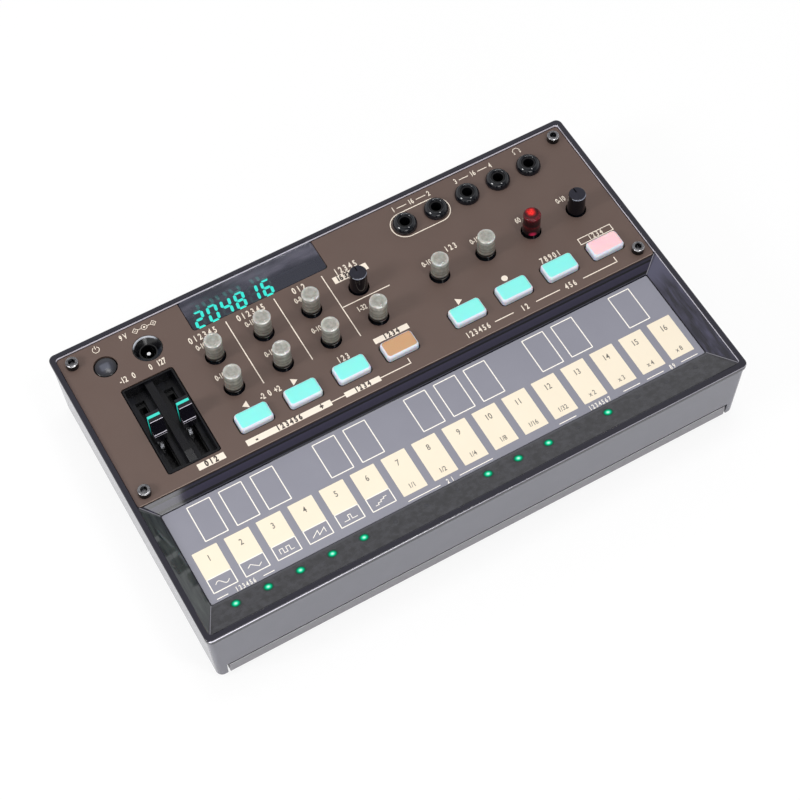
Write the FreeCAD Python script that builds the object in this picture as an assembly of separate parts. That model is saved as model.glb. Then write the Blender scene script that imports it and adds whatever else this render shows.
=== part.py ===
import FreeCAD, Part
import math
import os

os.makedirs("parts", exist_ok=True)
V = FreeCAD.Vector

# All sizes are in millimetres. The origin is on the table under the centre of the case.
# +X runs from the slider end to the volume end, +Y to the sockets at the back, +Z up.

# Case: the outside, from the table up
CASE_LENGTH = 193.0
CASE_DEPTH = 115.0
FOOT_HEIGHT = 2.4
CASE_HEIGHT = 28.0
RIM_TOP = FOOT_HEIGHT + CASE_HEIGHT
CASE_BOTTOM = FOOT_HEIGHT
CORNER_RADIUS = 2.2
INNER_CORNER = 1.2

# Smoked tray: the moulding that covers the whole top
RIM_WIDTH = 1.9
RIM_BAND = 1.6
RIM_OVERHANG = 0.35
RIM_FILLET = 0.45
EDGE_BREAK = 0.2
TRAY_STEP = 2.7
STEP_INSET = 1.3
STEP_CORNER = 1.2
TRAY_SKIRT = 6.9
TRAY_INSET = 2.9
PANEL_DROP = 1.0
PANEL_THICK = 1.2
PANEL_TOP = RIM_TOP - PANEL_DROP
PANEL_UNDER = PANEL_TOP - PANEL_THICK
PANEL_FRONT = -5.7
PANEL_GAP = 0.12
PANEL_SLIT = 0.35
WINDOW_GAP = 0.3
PANEL_BACK = CASE_DEPTH / 2 - RIM_WIDTH

# Keyboard well, sunk in the front half of the tray
WELL_DROP = 5.0
WELL_HALF_LENGTH = 89.4
WELL_BACK = -9.5
WELL_FRONT = -44.5
SLOPE_TOP_DROP = 0.8
SLOPE_SIDE_RUN = 5.2
SLOPE_BACK_RUN = 3.9
SLOPE_FRONT_RUN = 10.7
GROOVE_WIDTH = 0.45
GROOVE_DEPTH = 0.5
SHEET_THICK = 0.4
SHEET_GAP = 0.35

# Controls, as columns along X and rows along Y
COLUMN_PITCH = 17.55
LEFT_COLUMN = -48.95
RIGHT_COLUMN = 29.0
UPPER_ROW = 31.55
LOWER_ROW = 18.2
SINGLE_ROW = 22.4
BUTTON_ROW = 4.6
JACK_ROW = 45.6
JACK_PITCH = 12.03
SLIDER_CENTRE = (-72.0, 17.45)
SLIDER_PITCH = 10.1
DC_PLACE = (-66.65, 45.1)
POWER_PLACE = (-81.4, 45.55)
SCREW_X = 90.4
SCREW_ROWS = (51.2, -2.0)
DISPLAY = (-51.0, -1.3, 43.3, 55.6)
KEY_PITCH = 11.02
KEY_COUNT = 16
LED_ROW = -48.1

# Knobs: clear ones are the shafts of their own controls
KNOB_RADIUS = 3.05
KNOB_TOP_RADIUS = 2.95
KNOB_HEIGHT = 9.6
KNOB_HOLE = 3.5
STUB_RADIUS = 2.3
STUB_CLEARANCE = 0.08

# Boards and what stands on them, as drops below the rim's top
CONTROL_BOARD_DROP = 13.0
MAIN_BOARD_DROP = 20.0
BOARD_THICK = 1.6
POT_TOP_DROP = 6.2

# Lower case, tapered a little towards its foot
WALL = 2.0
BOTTOM_HALF_LENGTH = 95.2
BOTTOM_HALF_DEPTH = 56.6
STRIP_HEIGHT = 5.95
STRIP_HALF = 91.15
SEAM_GAP = 1.0
SEAM_LIP = (54.0, 54.5)
SEAM_LIP_RISE = 0.3
NOTCH_GAP = 0.75
FLOOR_THICK = 2.4
DOOR_THICK = 1.6
DOOR_TRAVEL = 5.0

# Battery cells, size AA, in three rows of two
CELL_RADIUS = 7.25
CELL_LENGTH = 50.0
CELL_ROWS = (-45.2, -30.3, -15.4)
BAY_HALF = 57.0

# Loudspeaker, beside the cells
SPEAKER_PLACE = (76.0, -30.0)
SPEAKER_RADIUS = 16.0


def box(x0, x1, y0, y1, z0, z1):
    """A block between two corners."""
    return Part.makeBox(x1 - x0, y1 - y0, z1 - z0, V(x0, y0, z0))


def block(centre, size_x, size_y, z0, z1):
    """A block centred on a place in plan."""
    x, y = centre
    return box(x - size_x / 2, x + size_x / 2, y - size_y / 2, y + size_y / 2, z0, z1)


def disc(centre, radius, z0, z1):
    """An upright cylinder."""
    return Part.makeCylinder(radius, z1 - z0, V(centre[0], centre[1], z0))


def cone(centre, low_radius, high_radius, z0, z1):
    """An upright cone with its ends at two heights."""
    return Part.makeCone(low_radius, high_radius, z1 - z0, V(centre[0], centre[1], z0))


def fused(shapes):
    """One solid from pieces that meet or overlap."""
    whole = shapes[0].multiFuse(shapes[1:])
    return whole.removeSplitter()


def outline(x0, x1, y0, y1, radius, z):
    """A rectangle with round corners, as a closed wire."""
    corners = [(x1 - radius, y1 - radius, 0), (x0 + radius, y1 - radius, 90)]
    corners += [(x0 + radius, y0 + radius, 180), (x1 - radius, y0 + radius, 270)]
    ends = []
    edges = []
    for x, y, start in corners:
        points = []
        for turn in (0, 45, 90):
            angle = math.radians(start + turn)
            points.append(V(x + radius * math.cos(angle), y + radius * math.sin(angle), z))
        if ends:
            edges.append(Part.LineSegment(ends[-1], points[0]).toShape())
        edges.append(Part.Arc(points[0], points[1], points[2]).toShape())
        ends += [points[0], points[2]]
    edges.append(Part.LineSegment(ends[-1], ends[0]).toShape())
    return Part.Wire(edges)


def plate(x0, x1, y0, y1, radius, z0, z1):
    """A flat plate with round corners."""
    return Part.Face(outline(x0, x1, y0, y1, radius, z0)).extrude(V(0, 0, z1 - z0))


def round_plate(centre, size_x, size_y, radius, z0, z1):
    """A plate with round corners, centred on a place in plan."""
    x, y = centre
    return plate(x - size_x / 2, x + size_x / 2, y - size_y / 2, y + size_y / 2, radius, z0, z1)


def turned(profile, centre, base):
    """A solid of revolution from (radius, height) points, standing at a place."""
    points = [V(centre[0] + r, centre[1], base + h) for r, h in profile]
    wire = Part.makePolygon(points + [points[0]])
    return Part.Face(wire).revolve(V(centre[0], centre[1], 0), V(0, 0, 1), 360)


def drawn(path, at):
    """A face inside a path of lines (two points) and arcs (three points)."""
    edges = []
    for points in path:
        ends = [at(a, b) for a, b in points]
        if len(ends) == 2:
            edges.append(Part.LineSegment(ends[0], ends[1]).toShape())
        else:
            edges.append(Part.Arc(ends[0], ends[1], ends[2]).toShape())
    return Part.Face(Part.Wire(edges))


def lathe(path, centre, base):
    """A solid of revolution from a path of radii and heights."""
    face = drawn(path, lambda r, h: V(centre[0] + r, centre[1], base + h))
    return face.revolve(V(centre[0], centre[1], 0), V(0, 0, 1), 360)


def dome(radius, rim, pole):
    """The arc of a spherical cap, from its rim to its pole on the axis."""
    sag = pole - rim
    bow = (radius ** 2 + sag ** 2) / (2 * sag)
    fall = abs(bow) - math.sqrt(bow ** 2 - radius ** 2 / 4)
    return [(radius, rim), (radius / 2, pole - math.copysign(fall, sag)), (0, pole)]


def edges_at(shape, z, reach=1e9):
    """The edges that lie flat at a height, no further than reach from the axis."""
    found = []
    for edge in shape.Edges:
        bounds = edge.BoundBox
        level = abs(bounds.ZMin - z) < 1e-4 and abs(bounds.ZMax - z) < 1e-4
        if level and bounds.DiagonalLength < reach:
            found.append(edge)
    return found


def cross_section(points, x0, x1):
    """A solid with a constant (y, z) section along X."""
    corners = [V(x0, y, z) for y, z in points]
    return Part.Face(Part.makePolygon(corners + [corners[0]])).extrude(V(x1 - x0, 0, 0))


def write(name, shape):
    """Checks a node's shape and writes it."""
    if not shape.isValid():
        print("not valid:", name)
    shape.exportStep("parts/" + name + ".step")
    print(name, "solids", len(shape.Solids), "volume", round(shape.Volume, 1))


# Places of the controls
def column(index):
    """X of a control column: four on the left, then four on the right."""
    if index < 4:
        return LEFT_COLUMN + COLUMN_PITCH * index
    return RIGHT_COLUMN + COLUMN_PITCH * (index - 4)


CLEAR_KNOBS = {
    "mod_attack_knob": (column(0), UPPER_ROW),
    "mod_decay_knob": (column(0), LOWER_ROW),
    "carrier_attack_knob": (column(1), UPPER_ROW),
    "carrier_decay_knob": (column(1), LOWER_ROW),
    "lfo_rate_knob": (column(2), UPPER_ROW),
    "lfo_depth_knob": (column(2), LOWER_ROW),
    "algorithm_knob": (column(3), LOWER_ROW),
    "arp_type_knob": (column(4), SINGLE_ROW),
    "arp_div_knob": (column(5), SINGLE_ROW),
    "tempo_knob": (column(6), SINGLE_ROW),
}
CAPPED_KNOBS = {
    "program": (column(3), UPPER_ROW),
    "volume": (column(7), SINGLE_ROW),
}
BUTTONS = {
    "octave_down_button": (column(0), BUTTON_ROW),
    "octave_up_button": (column(1), BUTTON_ROW),
    "save_button": (column(2), BUTTON_ROW),
    "edit_button": (column(3), BUTTON_ROW),
    "play_button": (column(4), BUTTON_ROW),
    "record_button": (column(5), BUTTON_ROW),
    "memory_button": (column(6), BUTTON_ROW),
    "function_button": (column(7), BUTTON_ROW),
}
JACKS = [(RIGHT_COLUMN + JACK_PITCH * i, JACK_ROW) for i in range(5)]
PANEL_SCREWS = [(side * SCREW_X, y) for side in (-1, 1) for y in SCREW_ROWS]
SLIDERS = [(SLIDER_CENTRE[0] + side * SLIDER_PITCH / 2, SLIDER_CENTRE[1]) for side in (-1, 1)]
SLIDER_RESTS = [(x, y - 0.65) for x, y in SLIDERS]


def key_x(index):
    """X of a step key, counted from 0 at the slider end."""
    return (index - (KEY_COUNT - 1) / 2) * KEY_PITCH


# Top tray: rim, panel seat, sunk well with four slopes
TRAY_UNDER = RIM_TOP - TRAY_SKIRT
WELL_FLOOR = RIM_TOP - WELL_DROP
TRAY_OPENING = (-88.4, 88.4, -2.0, 50.3)
LED_CHANNEL_HALF = 88.0
SCREW_HOLE = 1.3
TRAY_POSTS = [(side * 89.6, y) for side in (-1, 1) for y in (12.0, 30.0)]
POST_RADIUS = 1.9


def edge_break(x0, x1, y0, y1, radius):
    """A sloped cutter that takes the sharp edge off an opening in the rim's top."""
    reach = EDGE_BREAK * 2
    low = outline(x0, x1, y0, y1, radius, RIM_TOP - EDGE_BREAK)
    high = outline(x0 - reach, x1 + reach, y0 - reach, y1 + reach, radius + reach,
                   RIM_TOP + EDGE_BREAK)
    return Part.makeLoft([low, high], True, True)


def well_cavity():
    """The well as a loft from its floor outline up to the rim's opening."""
    slope_top = RIM_TOP - SLOPE_TOP_DROP
    wide = WELL_HALF_LENGTH + SLOPE_SIDE_RUN
    front = WELL_FRONT - SLOPE_FRONT_RUN
    back = WELL_BACK + SLOPE_BACK_RUN
    low = outline(-WELL_HALF_LENGTH, WELL_HALF_LENGTH, WELL_FRONT, WELL_BACK, 0.6, WELL_FLOOR)
    high = outline(-wide, wide, front, back, INNER_CORNER, slope_top)
    slopes = Part.makeLoft([low, high], True, True)
    groove = box(INNER_CORNER - wide, wide - INNER_CORNER, front, front + GROOVE_WIDTH,
                 slope_top - GROOVE_DEPTH, slope_top + 0.1)
    seat = plate(-WELL_HALF_LENGTH, WELL_HALF_LENGTH, WELL_FRONT, WELL_BACK, 0.6,
                 WELL_FLOOR - SHEET_THICK, WELL_FLOOR)
    return fused([slopes, seat, groove])


def rim_opening():
    """The one opening in the rim, round the panel and the well, with its edge broken."""
    half = CASE_LENGTH / 2 - RIM_WIDTH
    front = WELL_FRONT - SLOPE_FRONT_RUN
    lip = plate(-half, half, front, PANEL_BACK, INNER_CORNER, RIM_TOP - SLOPE_TOP_DROP, RIM_TOP + 1)
    return lip.fuse(edge_break(-half, half, front, PANEL_BACK, INNER_CORNER))


def led_channel():
    """The hollow behind the front slope, where the step lights stand."""
    rise = (WELL_DROP - SLOPE_TOP_DROP) / SLOPE_FRONT_RUN
    skin = 1.7
    back = WELL_FRONT - 1.2
    front = WELL_FRONT - 8.3
    back_z = WELL_FLOOR + rise * (WELL_FRONT - back) - skin
    front_z = WELL_FLOOR + rise * (WELL_FRONT - front) - skin
    section = [(back, TRAY_UNDER - 1), (back, back_z), (front, front_z), (front, TRAY_UNDER - 1)]
    return cross_section(section, -LED_CHANNEL_HALF, LED_CHANNEL_HALF)


def top_frame():
    half = CASE_LENGTH / 2
    deep = CASE_DEPTH / 2
    rim = plate(-half, half, -deep, deep, CORNER_RADIUS, RIM_TOP - RIM_BAND, RIM_TOP)
    rim = rim.makeFillet(RIM_FILLET, edges_at(rim, RIM_TOP))
    step = plate(-half + STEP_INSET, half - STEP_INSET, -deep + STEP_INSET, deep - STEP_INSET,
                 STEP_CORNER, RIM_TOP - TRAY_STEP, RIM_TOP - RIM_BAND)
    skirt = plate(-half + TRAY_INSET, half - TRAY_INSET, -deep + TRAY_INSET, deep - TRAY_INSET,
                  INNER_CORNER, TRAY_UNDER, RIM_TOP - TRAY_STEP)
    body = fused([rim, step, skirt])
    inner = half - RIM_WIDTH
    seat = plate(-inner, inner, PANEL_FRONT - PANEL_SLIT, PANEL_BACK, INNER_CORNER,
                 PANEL_UNDER, RIM_TOP + 1)
    for cut in (seat, rim_opening(), well_cavity()):
        body = body.cut(cut)
    x0, x1, y0, y1 = TRAY_OPENING
    body = body.cut(plate(x0, x1, y0, y1, 3.0, TRAY_UNDER - 1, RIM_TOP))
    body = body.cut(box(DISPLAY[0] + 0.8, DISPLAY[1] - 0.8, y1 - 4, DISPLAY[3] - 2.8,
                        TRAY_UNDER - 1, RIM_TOP))
    body = body.cut(led_channel())
    board_level = RIM_TOP - CONTROL_BOARD_DROP
    posts = [disc(place, POST_RADIUS, board_level, TRAY_UNDER + 0.5) for place in TRAY_POSTS]
    body = fused([body] + posts)
    for place in PANEL_SCREWS:
        body = body.cut(disc(place, SCREW_HOLE, TRAY_UNDER - 1, RIM_TOP))
    for place in TRAY_POSTS:
        body = body.cut(disc(place, 0.75, board_level - 1, board_level + 4.5))
    return body


# Control panel plate, with a hole for each control
BUTTON_SIZE = (11.6, 6.8)
BUTTON_HOLE = (12.5, 7.4)
POWER_HOLE = 4.0
DC_HOLE = 5.0
JACK_HOLE = 3.05
SLIDER_HOLE = (18.6, 35.3)


def top_panel():
    half = CASE_LENGTH / 2 - RIM_WIDTH - PANEL_GAP
    body = plate(-half, half, PANEL_FRONT, PANEL_BACK - PANEL_GAP, INNER_CORNER - PANEL_GAP,
                 PANEL_UNDER, PANEL_TOP)
    body = body.makeFillet(0.25, edges_at(body, PANEL_TOP))
    low = PANEL_UNDER - 1
    high = PANEL_TOP + 1
    cuts = [disc(place, KNOB_HOLE, low, high) for place in CLEAR_KNOBS.values()]
    cuts += [disc(place, KNOB_HOLE, low, high) for place in CAPPED_KNOBS.values()]
    cuts += [disc(place, JACK_HOLE, low, high) for place in JACKS]
    cuts += [disc(place, SCREW_HOLE, low, high) for place in PANEL_SCREWS]
    cuts.append(disc(DC_PLACE, DC_HOLE, low, high))
    cuts.append(disc(POWER_PLACE, POWER_HOLE, low, high))
    cuts.append(round_plate(SLIDER_CENTRE, SLIDER_HOLE[0], SLIDER_HOLE[1], 1.0, low, high))
    for place in BUTTONS.values():
        cuts.append(round_plate(place, BUTTON_HOLE[0], BUTTON_HOLE[1], 1.5, low, high))
    x0, x1, y0, y1 = DISPLAY
    cuts.append(plate(x0, x1, y0, y1 + 5, 1.2, low, high))
    for cut in cuts:
        body = body.cut(cut)
    return body


def display_window():
    """The smoked pane, flush in the panel's notch, with a flange bonded under the panel."""
    x0, x1, y0, y1 = DISPLAY
    pane = plate(x0 + WINDOW_GAP, x1 - WINDOW_GAP, y0 + WINDOW_GAP, PANEL_BACK - PANEL_GAP,
                 1.0, PANEL_UNDER, PANEL_TOP)
    flange = plate(x0 - 1.2, x1 + 1.2, y0 - 1.2, TRAY_OPENING[3] - 0.3, 1.0,
                   PANEL_UNDER - 1.0, PANEL_UNDER)
    return fused([pane, flange])


def panel_screws():
    """Socket head screws, with their hexagon sockets."""
    screws = []
    head = 2.4
    reach = 1.2
    for x, y in PANEL_SCREWS:
        body = disc((x, y), 2.1, PANEL_TOP, PANEL_TOP + head)
        body = body.makeFillet(0.45, edges_at(body, PANEL_TOP + head))
        shank = disc((x, y), 1.2, PANEL_TOP - 12, PANEL_TOP)
        body = fused([body, shank])
        hexagon = []
        for index in range(6):
            angle = math.radians(60 * index)
            hexagon.append(V(x + reach * math.cos(angle), y + reach * math.sin(angle),
                             PANEL_TOP + head - 1.4))
        socket = Part.Face(Part.makePolygon(hexagon + [hexagon[0]])).extrude(V(0, 0, 3))
        screws.append(body.cut(socket))
    return Part.makeCompound(screws)


# Touch keyboard
def touch_sheet():
    """The printed film over the keys, let into the well's floor."""
    half = WELL_HALF_LENGTH - SHEET_GAP
    return plate(-half, half, WELL_FRONT + 0.1, WELL_BACK - SHEET_GAP, 0.5,
                 WELL_FLOOR - SHEET_THICK, WELL_FLOOR)


def touch_board():
    """The board with the touch pads, held up against the tray's underside."""
    return plate(-87.0, 87.0, WELL_FRONT - 8.0, WELL_BACK + 1.5, 1.0,
                 TRAY_UNDER - BOARD_THICK, TRAY_UNDER)


def step_leds():
    leds = []
    for index in range(KEY_COUNT):
        place = (key_x(index), LED_ROW)
        base = block(place, 3.0, 1.5, TRAY_UNDER, TRAY_UNDER + 0.6)
        lens = disc(place, 0.6, TRAY_UNDER + 0.6, TRAY_UNDER + 1.1)
        leds.append(fused([base, lens]))
    return Part.makeCompound(leds)


# Boards inside
CONTROL_TOP = RIM_TOP - CONTROL_BOARD_DROP
CONTROL_UNDER = CONTROL_TOP - BOARD_THICK
MAIN_TOP = RIM_TOP - MAIN_BOARD_DROP
MAIN_UNDER = MAIN_TOP - BOARD_THICK
FLOOR_TOP = CASE_BOTTOM + FLOOR_THICK
MAIN_POSTS = [(x, y) for x in (-78.0, 78.0) for y in (4.0, 43.0)]


def control_board():
    centre = box(-86.0, 86.0, -4.0, 51.5, CONTROL_UNDER, CONTROL_TOP)
    ears = box(-92.0, 92.0, 3.5, 46.0, CONTROL_UNDER, CONTROL_TOP)
    body = fused([centre, ears])
    for place in TRAY_POSTS:
        body = body.cut(disc(place, 0.8, CONTROL_UNDER - 1, CONTROL_TOP + 1))
    return body


def main_board():
    body = plate(-84.0, 84.0, -2.0, 47.5, 1.5, MAIN_UNDER, MAIN_TOP)
    for place in MAIN_POSTS:
        body = body.cut(disc(place, 1.2, MAIN_UNDER - 1, MAIN_TOP + 1))
    return body


def board_connector():
    """The pin header that joins the two boards."""
    socket = block((8.0, 12.0), 26.0, 5.0, MAIN_TOP, CONTROL_UNDER)
    return socket


def main_chips():
    """The processor, converter, amplifier and reservoir capacitors on the main board."""
    parts = [block((-20.0, 30.0), 14.0, 14.0, MAIN_TOP, MAIN_TOP + 1.4)]
    parts.append(block((38.0, 32.0), 10.0, 8.0, MAIN_TOP, MAIN_TOP + 1.6))
    parts.append(block((60.0, 14.0), 6.0, 8.0, MAIN_TOP, MAIN_TOP + 1.6))
    parts += [disc((x, 10.0), 2.5, MAIN_TOP, MAIN_TOP + 3.4) for x in (-60.0, -52.0, -44.0)]
    return Part.makeCompound(parts)


def board_screws():
    """Two sets: up into the tray's posts, and down into the cover's posts."""
    screws = []
    for place in TRAY_POSTS:
        head = disc(place, 1.4, CONTROL_UNDER - 1.1, CONTROL_UNDER)
        screws.append(fused([head, disc(place, 0.7, CONTROL_UNDER, CONTROL_TOP + 4.0)]))
    for place in MAIN_POSTS:
        head = disc(place, 2.0, MAIN_TOP, MAIN_TOP + 1.4)
        screws.append(fused([head, disc(place, 1.1, MAIN_UNDER - 3.0, MAIN_TOP)]))
    return Part.makeCompound(screws)


# Rotary controls
POT_TOP = RIM_TOP - POT_TOP_DROP
BUSH_TOP = PANEL_TOP - 0.7
BUSH_RADIUS = 3.1
STUB_FOOT = POT_TOP - 1.4
KNOB_TOP = PANEL_TOP + KNOB_HEIGHT
CAP_TOP = PANEL_TOP + 8.6
CAP_SHAFT = 1.75
CAP_GRIP = 3.05
SHAFT_TOP = CAP_TOP - 1.6


def pot_body(place, bore):
    """A pot: a square body on the board, with a round bush that guides its shaft."""
    base = block(place, 9.5, 9.5, CONTROL_TOP, POT_TOP)
    bush = disc(place, BUSH_RADIUS, POT_TOP, BUSH_TOP)
    bush = bush.makeChamfer(0.25, edges_at(bush, BUSH_TOP))
    body = fused([base, bush])
    return body.cut(disc(place, bore, STUB_FOOT - 0.2, BUSH_TOP + 1))


def pot_bodies():
    pots = [pot_body(place, STUB_RADIUS + STUB_CLEARANCE) for place in CLEAR_KNOBS.values()]
    pots += [pot_body(place, CAP_SHAFT + STUB_CLEARANCE) for place in CAPPED_KNOBS.values()]
    return Part.makeCompound(pots)


def clear_knob(place):
    """A moulded shaft knob: thin stub, slightly tapered grip, dished top with a pointer dimple."""
    x, y = place
    grip = PANEL_TOP + 1.1 - STUB_FOOT
    top = KNOB_TOP - STUB_FOOT
    crest = KNOB_TOP_RADIUS - 0.65
    path = [[(0, 0), (STUB_RADIUS, 0)], [(STUB_RADIUS, 0), (STUB_RADIUS, grip)]]
    path.append([(STUB_RADIUS, grip), (KNOB_RADIUS - 0.35, grip)])
    path.append([(KNOB_RADIUS - 0.35, grip), (KNOB_RADIUS - 0.1, grip + 0.1), (KNOB_RADIUS, grip + 0.35)])
    path.append([(KNOB_RADIUS, grip + 0.35), (KNOB_TOP_RADIUS, top - 0.55)])
    path.append([(KNOB_TOP_RADIUS, top - 0.55), (KNOB_TOP_RADIUS - 0.19, top - 0.16), (crest, top)])
    path.append(dome(crest, top, top - 0.22))
    path.append([(0, top - 0.22), (0, 0)])
    body = lathe(path, place, STUB_FOOT)
    dimple = Part.makeSphere(0.45, V(x, y - KNOB_TOP_RADIUS + 0.75, KNOB_TOP + 0.2))
    return body.cut(dimple)


def knob_cap(place):
    """A plain black cap, a little tapered, with a pointer groove in its top."""
    x, y = place
    foot = PANEL_TOP + 0.3
    top = CAP_TOP - foot
    path = [[(0, 0), (CAP_GRIP - EDGE_BREAK, 0)]]
    path.append([(CAP_GRIP - EDGE_BREAK, 0), (CAP_GRIP, EDGE_BREAK)])
    path.append([(CAP_GRIP, EDGE_BREAK), (CAP_GRIP - 0.15, top - 0.4)])
    path.append([(CAP_GRIP - 0.15, top - 0.4), (CAP_GRIP - 0.27, top - 0.12), (CAP_GRIP - 0.55, top)])
    path += [[(CAP_GRIP - 0.55, top), (0, top)], [(0, top), (0, 0)]]
    body = lathe(path, place, foot)
    body = body.cut(box(x - 0.25, x + 0.25, y + 0.6, y + 4, CAP_TOP - 0.5, CAP_TOP + 1))
    return body.cut(disc(place, CAP_SHAFT, foot - 1, SHAFT_TOP))


def knob_shaft(place):
    """The metal shaft of a capped control, pressed into its cap."""
    return disc(place, CAP_SHAFT, STUB_FOOT, SHAFT_TOP)


# Push buttons
BUTTON_TOP = PANEL_TOP + 2.2
BUTTON_TRAVEL = 0.8
STEM_FOOT = RIM_TOP - 8.4


def button(place):
    """A soft cap with round shoulders, a flange under the panel and a stem."""
    length, depth = BUTTON_SIZE
    cap = round_plate(place, length, depth, 1.3, PANEL_UNDER - 0.3, BUTTON_TOP)
    cap = cap.makeFillet(1.0, edges_at(cap, BUTTON_TOP))
    flange = round_plate(place, length + 1.6, depth + 1.6, 1.3, PANEL_UNDER - 1.3, PANEL_UNDER - 0.2)
    stem = disc(place, 1.6, STEM_FOOT, PANEL_UNDER - 1.0)
    return fused([cap, flange, stem])


def button_switches():
    """The tact switches under the buttons, each with its plunger."""
    switches = []
    for place in BUTTONS.values():
        base = block(place, 6.0, 6.0, CONTROL_TOP, CONTROL_TOP + 3.1)
        plunger = disc(place, 1.7, CONTROL_TOP + 3.1, STEM_FOOT - BUTTON_TRAVEL - 0.1)
        switches.append(fused([base, plunger]))
    return Part.makeCompound(switches)


POWER_TRAVEL = 1.5


def power_button():
    """A round domed cap, almost flush, on a square stem."""
    path = [[(0, 0), (4.5, 0)], [(4.5, 0), (4.5, 0.9)], [(4.5, 0.9), (3.6, 0.9)]]
    path += [[(3.6, 0.9), (3.6, 2.25)], [(3.6, 2.25), (3.54, 2.5), (3.35, 2.62)]]
    path += [dome(3.35, 2.62, 3.3), [(0, 3.3), (0, 0)]]
    cap = lathe(path, POWER_PLACE, PANEL_UNDER - 1.6)
    stem = block(POWER_PLACE, 3.0, 3.0, RIM_TOP - 7.2, PANEL_UNDER - 1.5)
    return fused([cap, stem])


def power_switch():
    base = block(POWER_PLACE, 8.0, 8.0, CONTROL_TOP, RIM_TOP - 9.6)
    plunger = block(POWER_PLACE, 2.6, 2.6, RIM_TOP - 9.6, RIM_TOP - 7.2 - POWER_TRAVEL - 0.2)
    return fused([base, plunger])


# Slider well and its two sliders
WELL_RIM = PANEL_TOP - 0.15
WELL_DEEP = RIM_TOP - 7.2
BAY_FLOOR = RIM_TOP - 6.0
BAR_HALF = 1.3
SLOT_HALF = (1.6, 13.6)
SLIDER_TRAVEL = 10.0
SLIDER_TOP = RIM_TOP + 7.0
TONGUE = (1.2, 3.0)
TONGUE_TOP = RIM_TOP + 2.0
SLIDER_WIDTH = 4.4
SLIDER_CREST = 3.9
SLIDER_WAIST = 4.6
SLIDER_LIP = 6.8
LIP_TOP = SLIDER_TOP - 6.0
LIP_UNDER = LIP_TOP - 1.1
SLIDER_FOOT = RIM_TOP - 5.6


def slider_well():
    """A dark moulding: two channels with a bar between them and a slot in each."""
    length, depth = SLIDER_HOLE
    gap = 0.12
    wall = 0.8
    body = round_plate(SLIDER_CENTRE, length - 2 * gap, depth - 2 * gap, 0.9, WELL_DEEP, WELL_RIM)
    flange = round_plate(SLIDER_CENTRE, length + 2.4, depth + 2.4, 1.4,
                         PANEL_UNDER - 1.0, PANEL_UNDER)
    body = fused([body, flange])
    body = body.makeChamfer(0.3, edges_at(body, WELL_RIM))
    inner_length = length - 2 * gap - 2 * wall
    inner_depth = depth - 2 * gap - 2 * wall
    hollow = round_plate(SLIDER_CENTRE, inner_length, inner_depth, 0.4, BAY_FLOOR, RIM_TOP)
    x, y = SLIDER_CENTRE
    half = inner_depth / 2
    ramp = 4.6
    bar_section = [(y - half, BAY_FLOOR), (y - half, WELL_RIM - 0.8), (y - half + ramp, WELL_RIM - 0.4)]
    bar_section += [(y + half - ramp, WELL_RIM - 0.4), (y + half, WELL_RIM - 0.8), (y + half, BAY_FLOOR)]
    bar = cross_section(bar_section, x - BAR_HALF, x + BAR_HALF)
    body = body.cut(hollow.cut(bar))
    for place in SLIDERS:
        body = body.cut(block(place, 2 * SLOT_HALF[0], 2 * SLOT_HALF[1], WELL_DEEP - 1, BAY_FLOOR + 1))
    return body


def slide_pots():
    """The two slide controls on the board, open along the top for their levers."""
    pots = []
    for place in SLIDER_RESTS:
        body = block(place, 7.0, 33.0, CONTROL_TOP, RIM_TOP - 7.4)
        body = body.cut(block(place, 2.4, 25.4, CONTROL_TOP + 2.0, RIM_TOP))
        pots.append(body)
    return Part.makeCompound(pots)


def slider_lever(place):
    """The flat metal tongue that the cap is pushed on."""
    foot = CONTROL_TOP + 2.2
    tongue = block(place, TONGUE[0], TONGUE[1], foot + 1.0, TONGUE_TOP)
    shoe = block(place, 1.8, 5.0, foot, foot + 1.0)
    return fused([shoe, tongue])


def slider_cap(place):
    """A tall smoked block with hollowed finger faces that run out into a lip, on a plain foot."""
    x, y = place
    crest = SLIDER_CREST / 2
    waist = SLIDER_WAIST / 2
    lip = SLIDER_LIP / 2
    edge = 0.2
    rise = [[(-crest, SLIDER_FOOT), (-crest, LIP_UNDER)], [(-crest, LIP_UNDER), (-lip, LIP_UNDER)]]
    rise.append([(-lip, LIP_UNDER), (-lip, LIP_TOP - edge)])
    rise.append([(-lip, LIP_TOP - edge), (edge - lip, LIP_TOP)])
    rise.append([(edge - lip, LIP_TOP), (-waist, SLIDER_TOP - 3.2), (-crest, SLIDER_TOP - edge)])
    rise.append([(-crest, SLIDER_TOP - edge), (edge - crest, SLIDER_TOP)])
    fall = [[(-a, b) for a, b in reversed(piece)] for piece in reversed(rise)]
    path = rise + [[(edge - crest, SLIDER_TOP), (crest - edge, SLIDER_TOP)]]
    path += fall + [[(crest, SLIDER_FOOT), (-crest, SLIDER_FOOT)]]
    side = drawn(path, lambda a, b: V(x - SLIDER_WIDTH / 2, y + a, b))
    body = side.extrude(V(SLIDER_WIDTH, 0, 0))
    return body.cut(block(place, TONGUE[0], TONGUE[1], SLIDER_FOOT - 1, TONGUE_TOP))


# Sockets
JACK_BORE = 1.8
JACK_DEPTH = 14.0
COLLAR_TOP = PANEL_TOP + 2.6
COLLAR_RADIUS = 4.15
COLLAR_CREST = 3.05
COLLAR_MOUTH = 2.35


def jack_sockets():
    """Upright 3.5 mm sockets: a box on the board and a threaded neck through the panel."""
    sockets = []
    for place in JACKS:
        base = block(place, 8.8, 9.0, CONTROL_TOP, PANEL_UNDER)
        neck = disc(place, 3.0, PANEL_UNDER, COLLAR_TOP - 0.6)
        body = fused([base, neck])
        bore = disc(place, JACK_BORE, COLLAR_TOP - 0.6 - JACK_DEPTH + 0.6, COLLAR_TOP)
        sockets.append(body.cut(bore))
    return Part.makeCompound(sockets)


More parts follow.
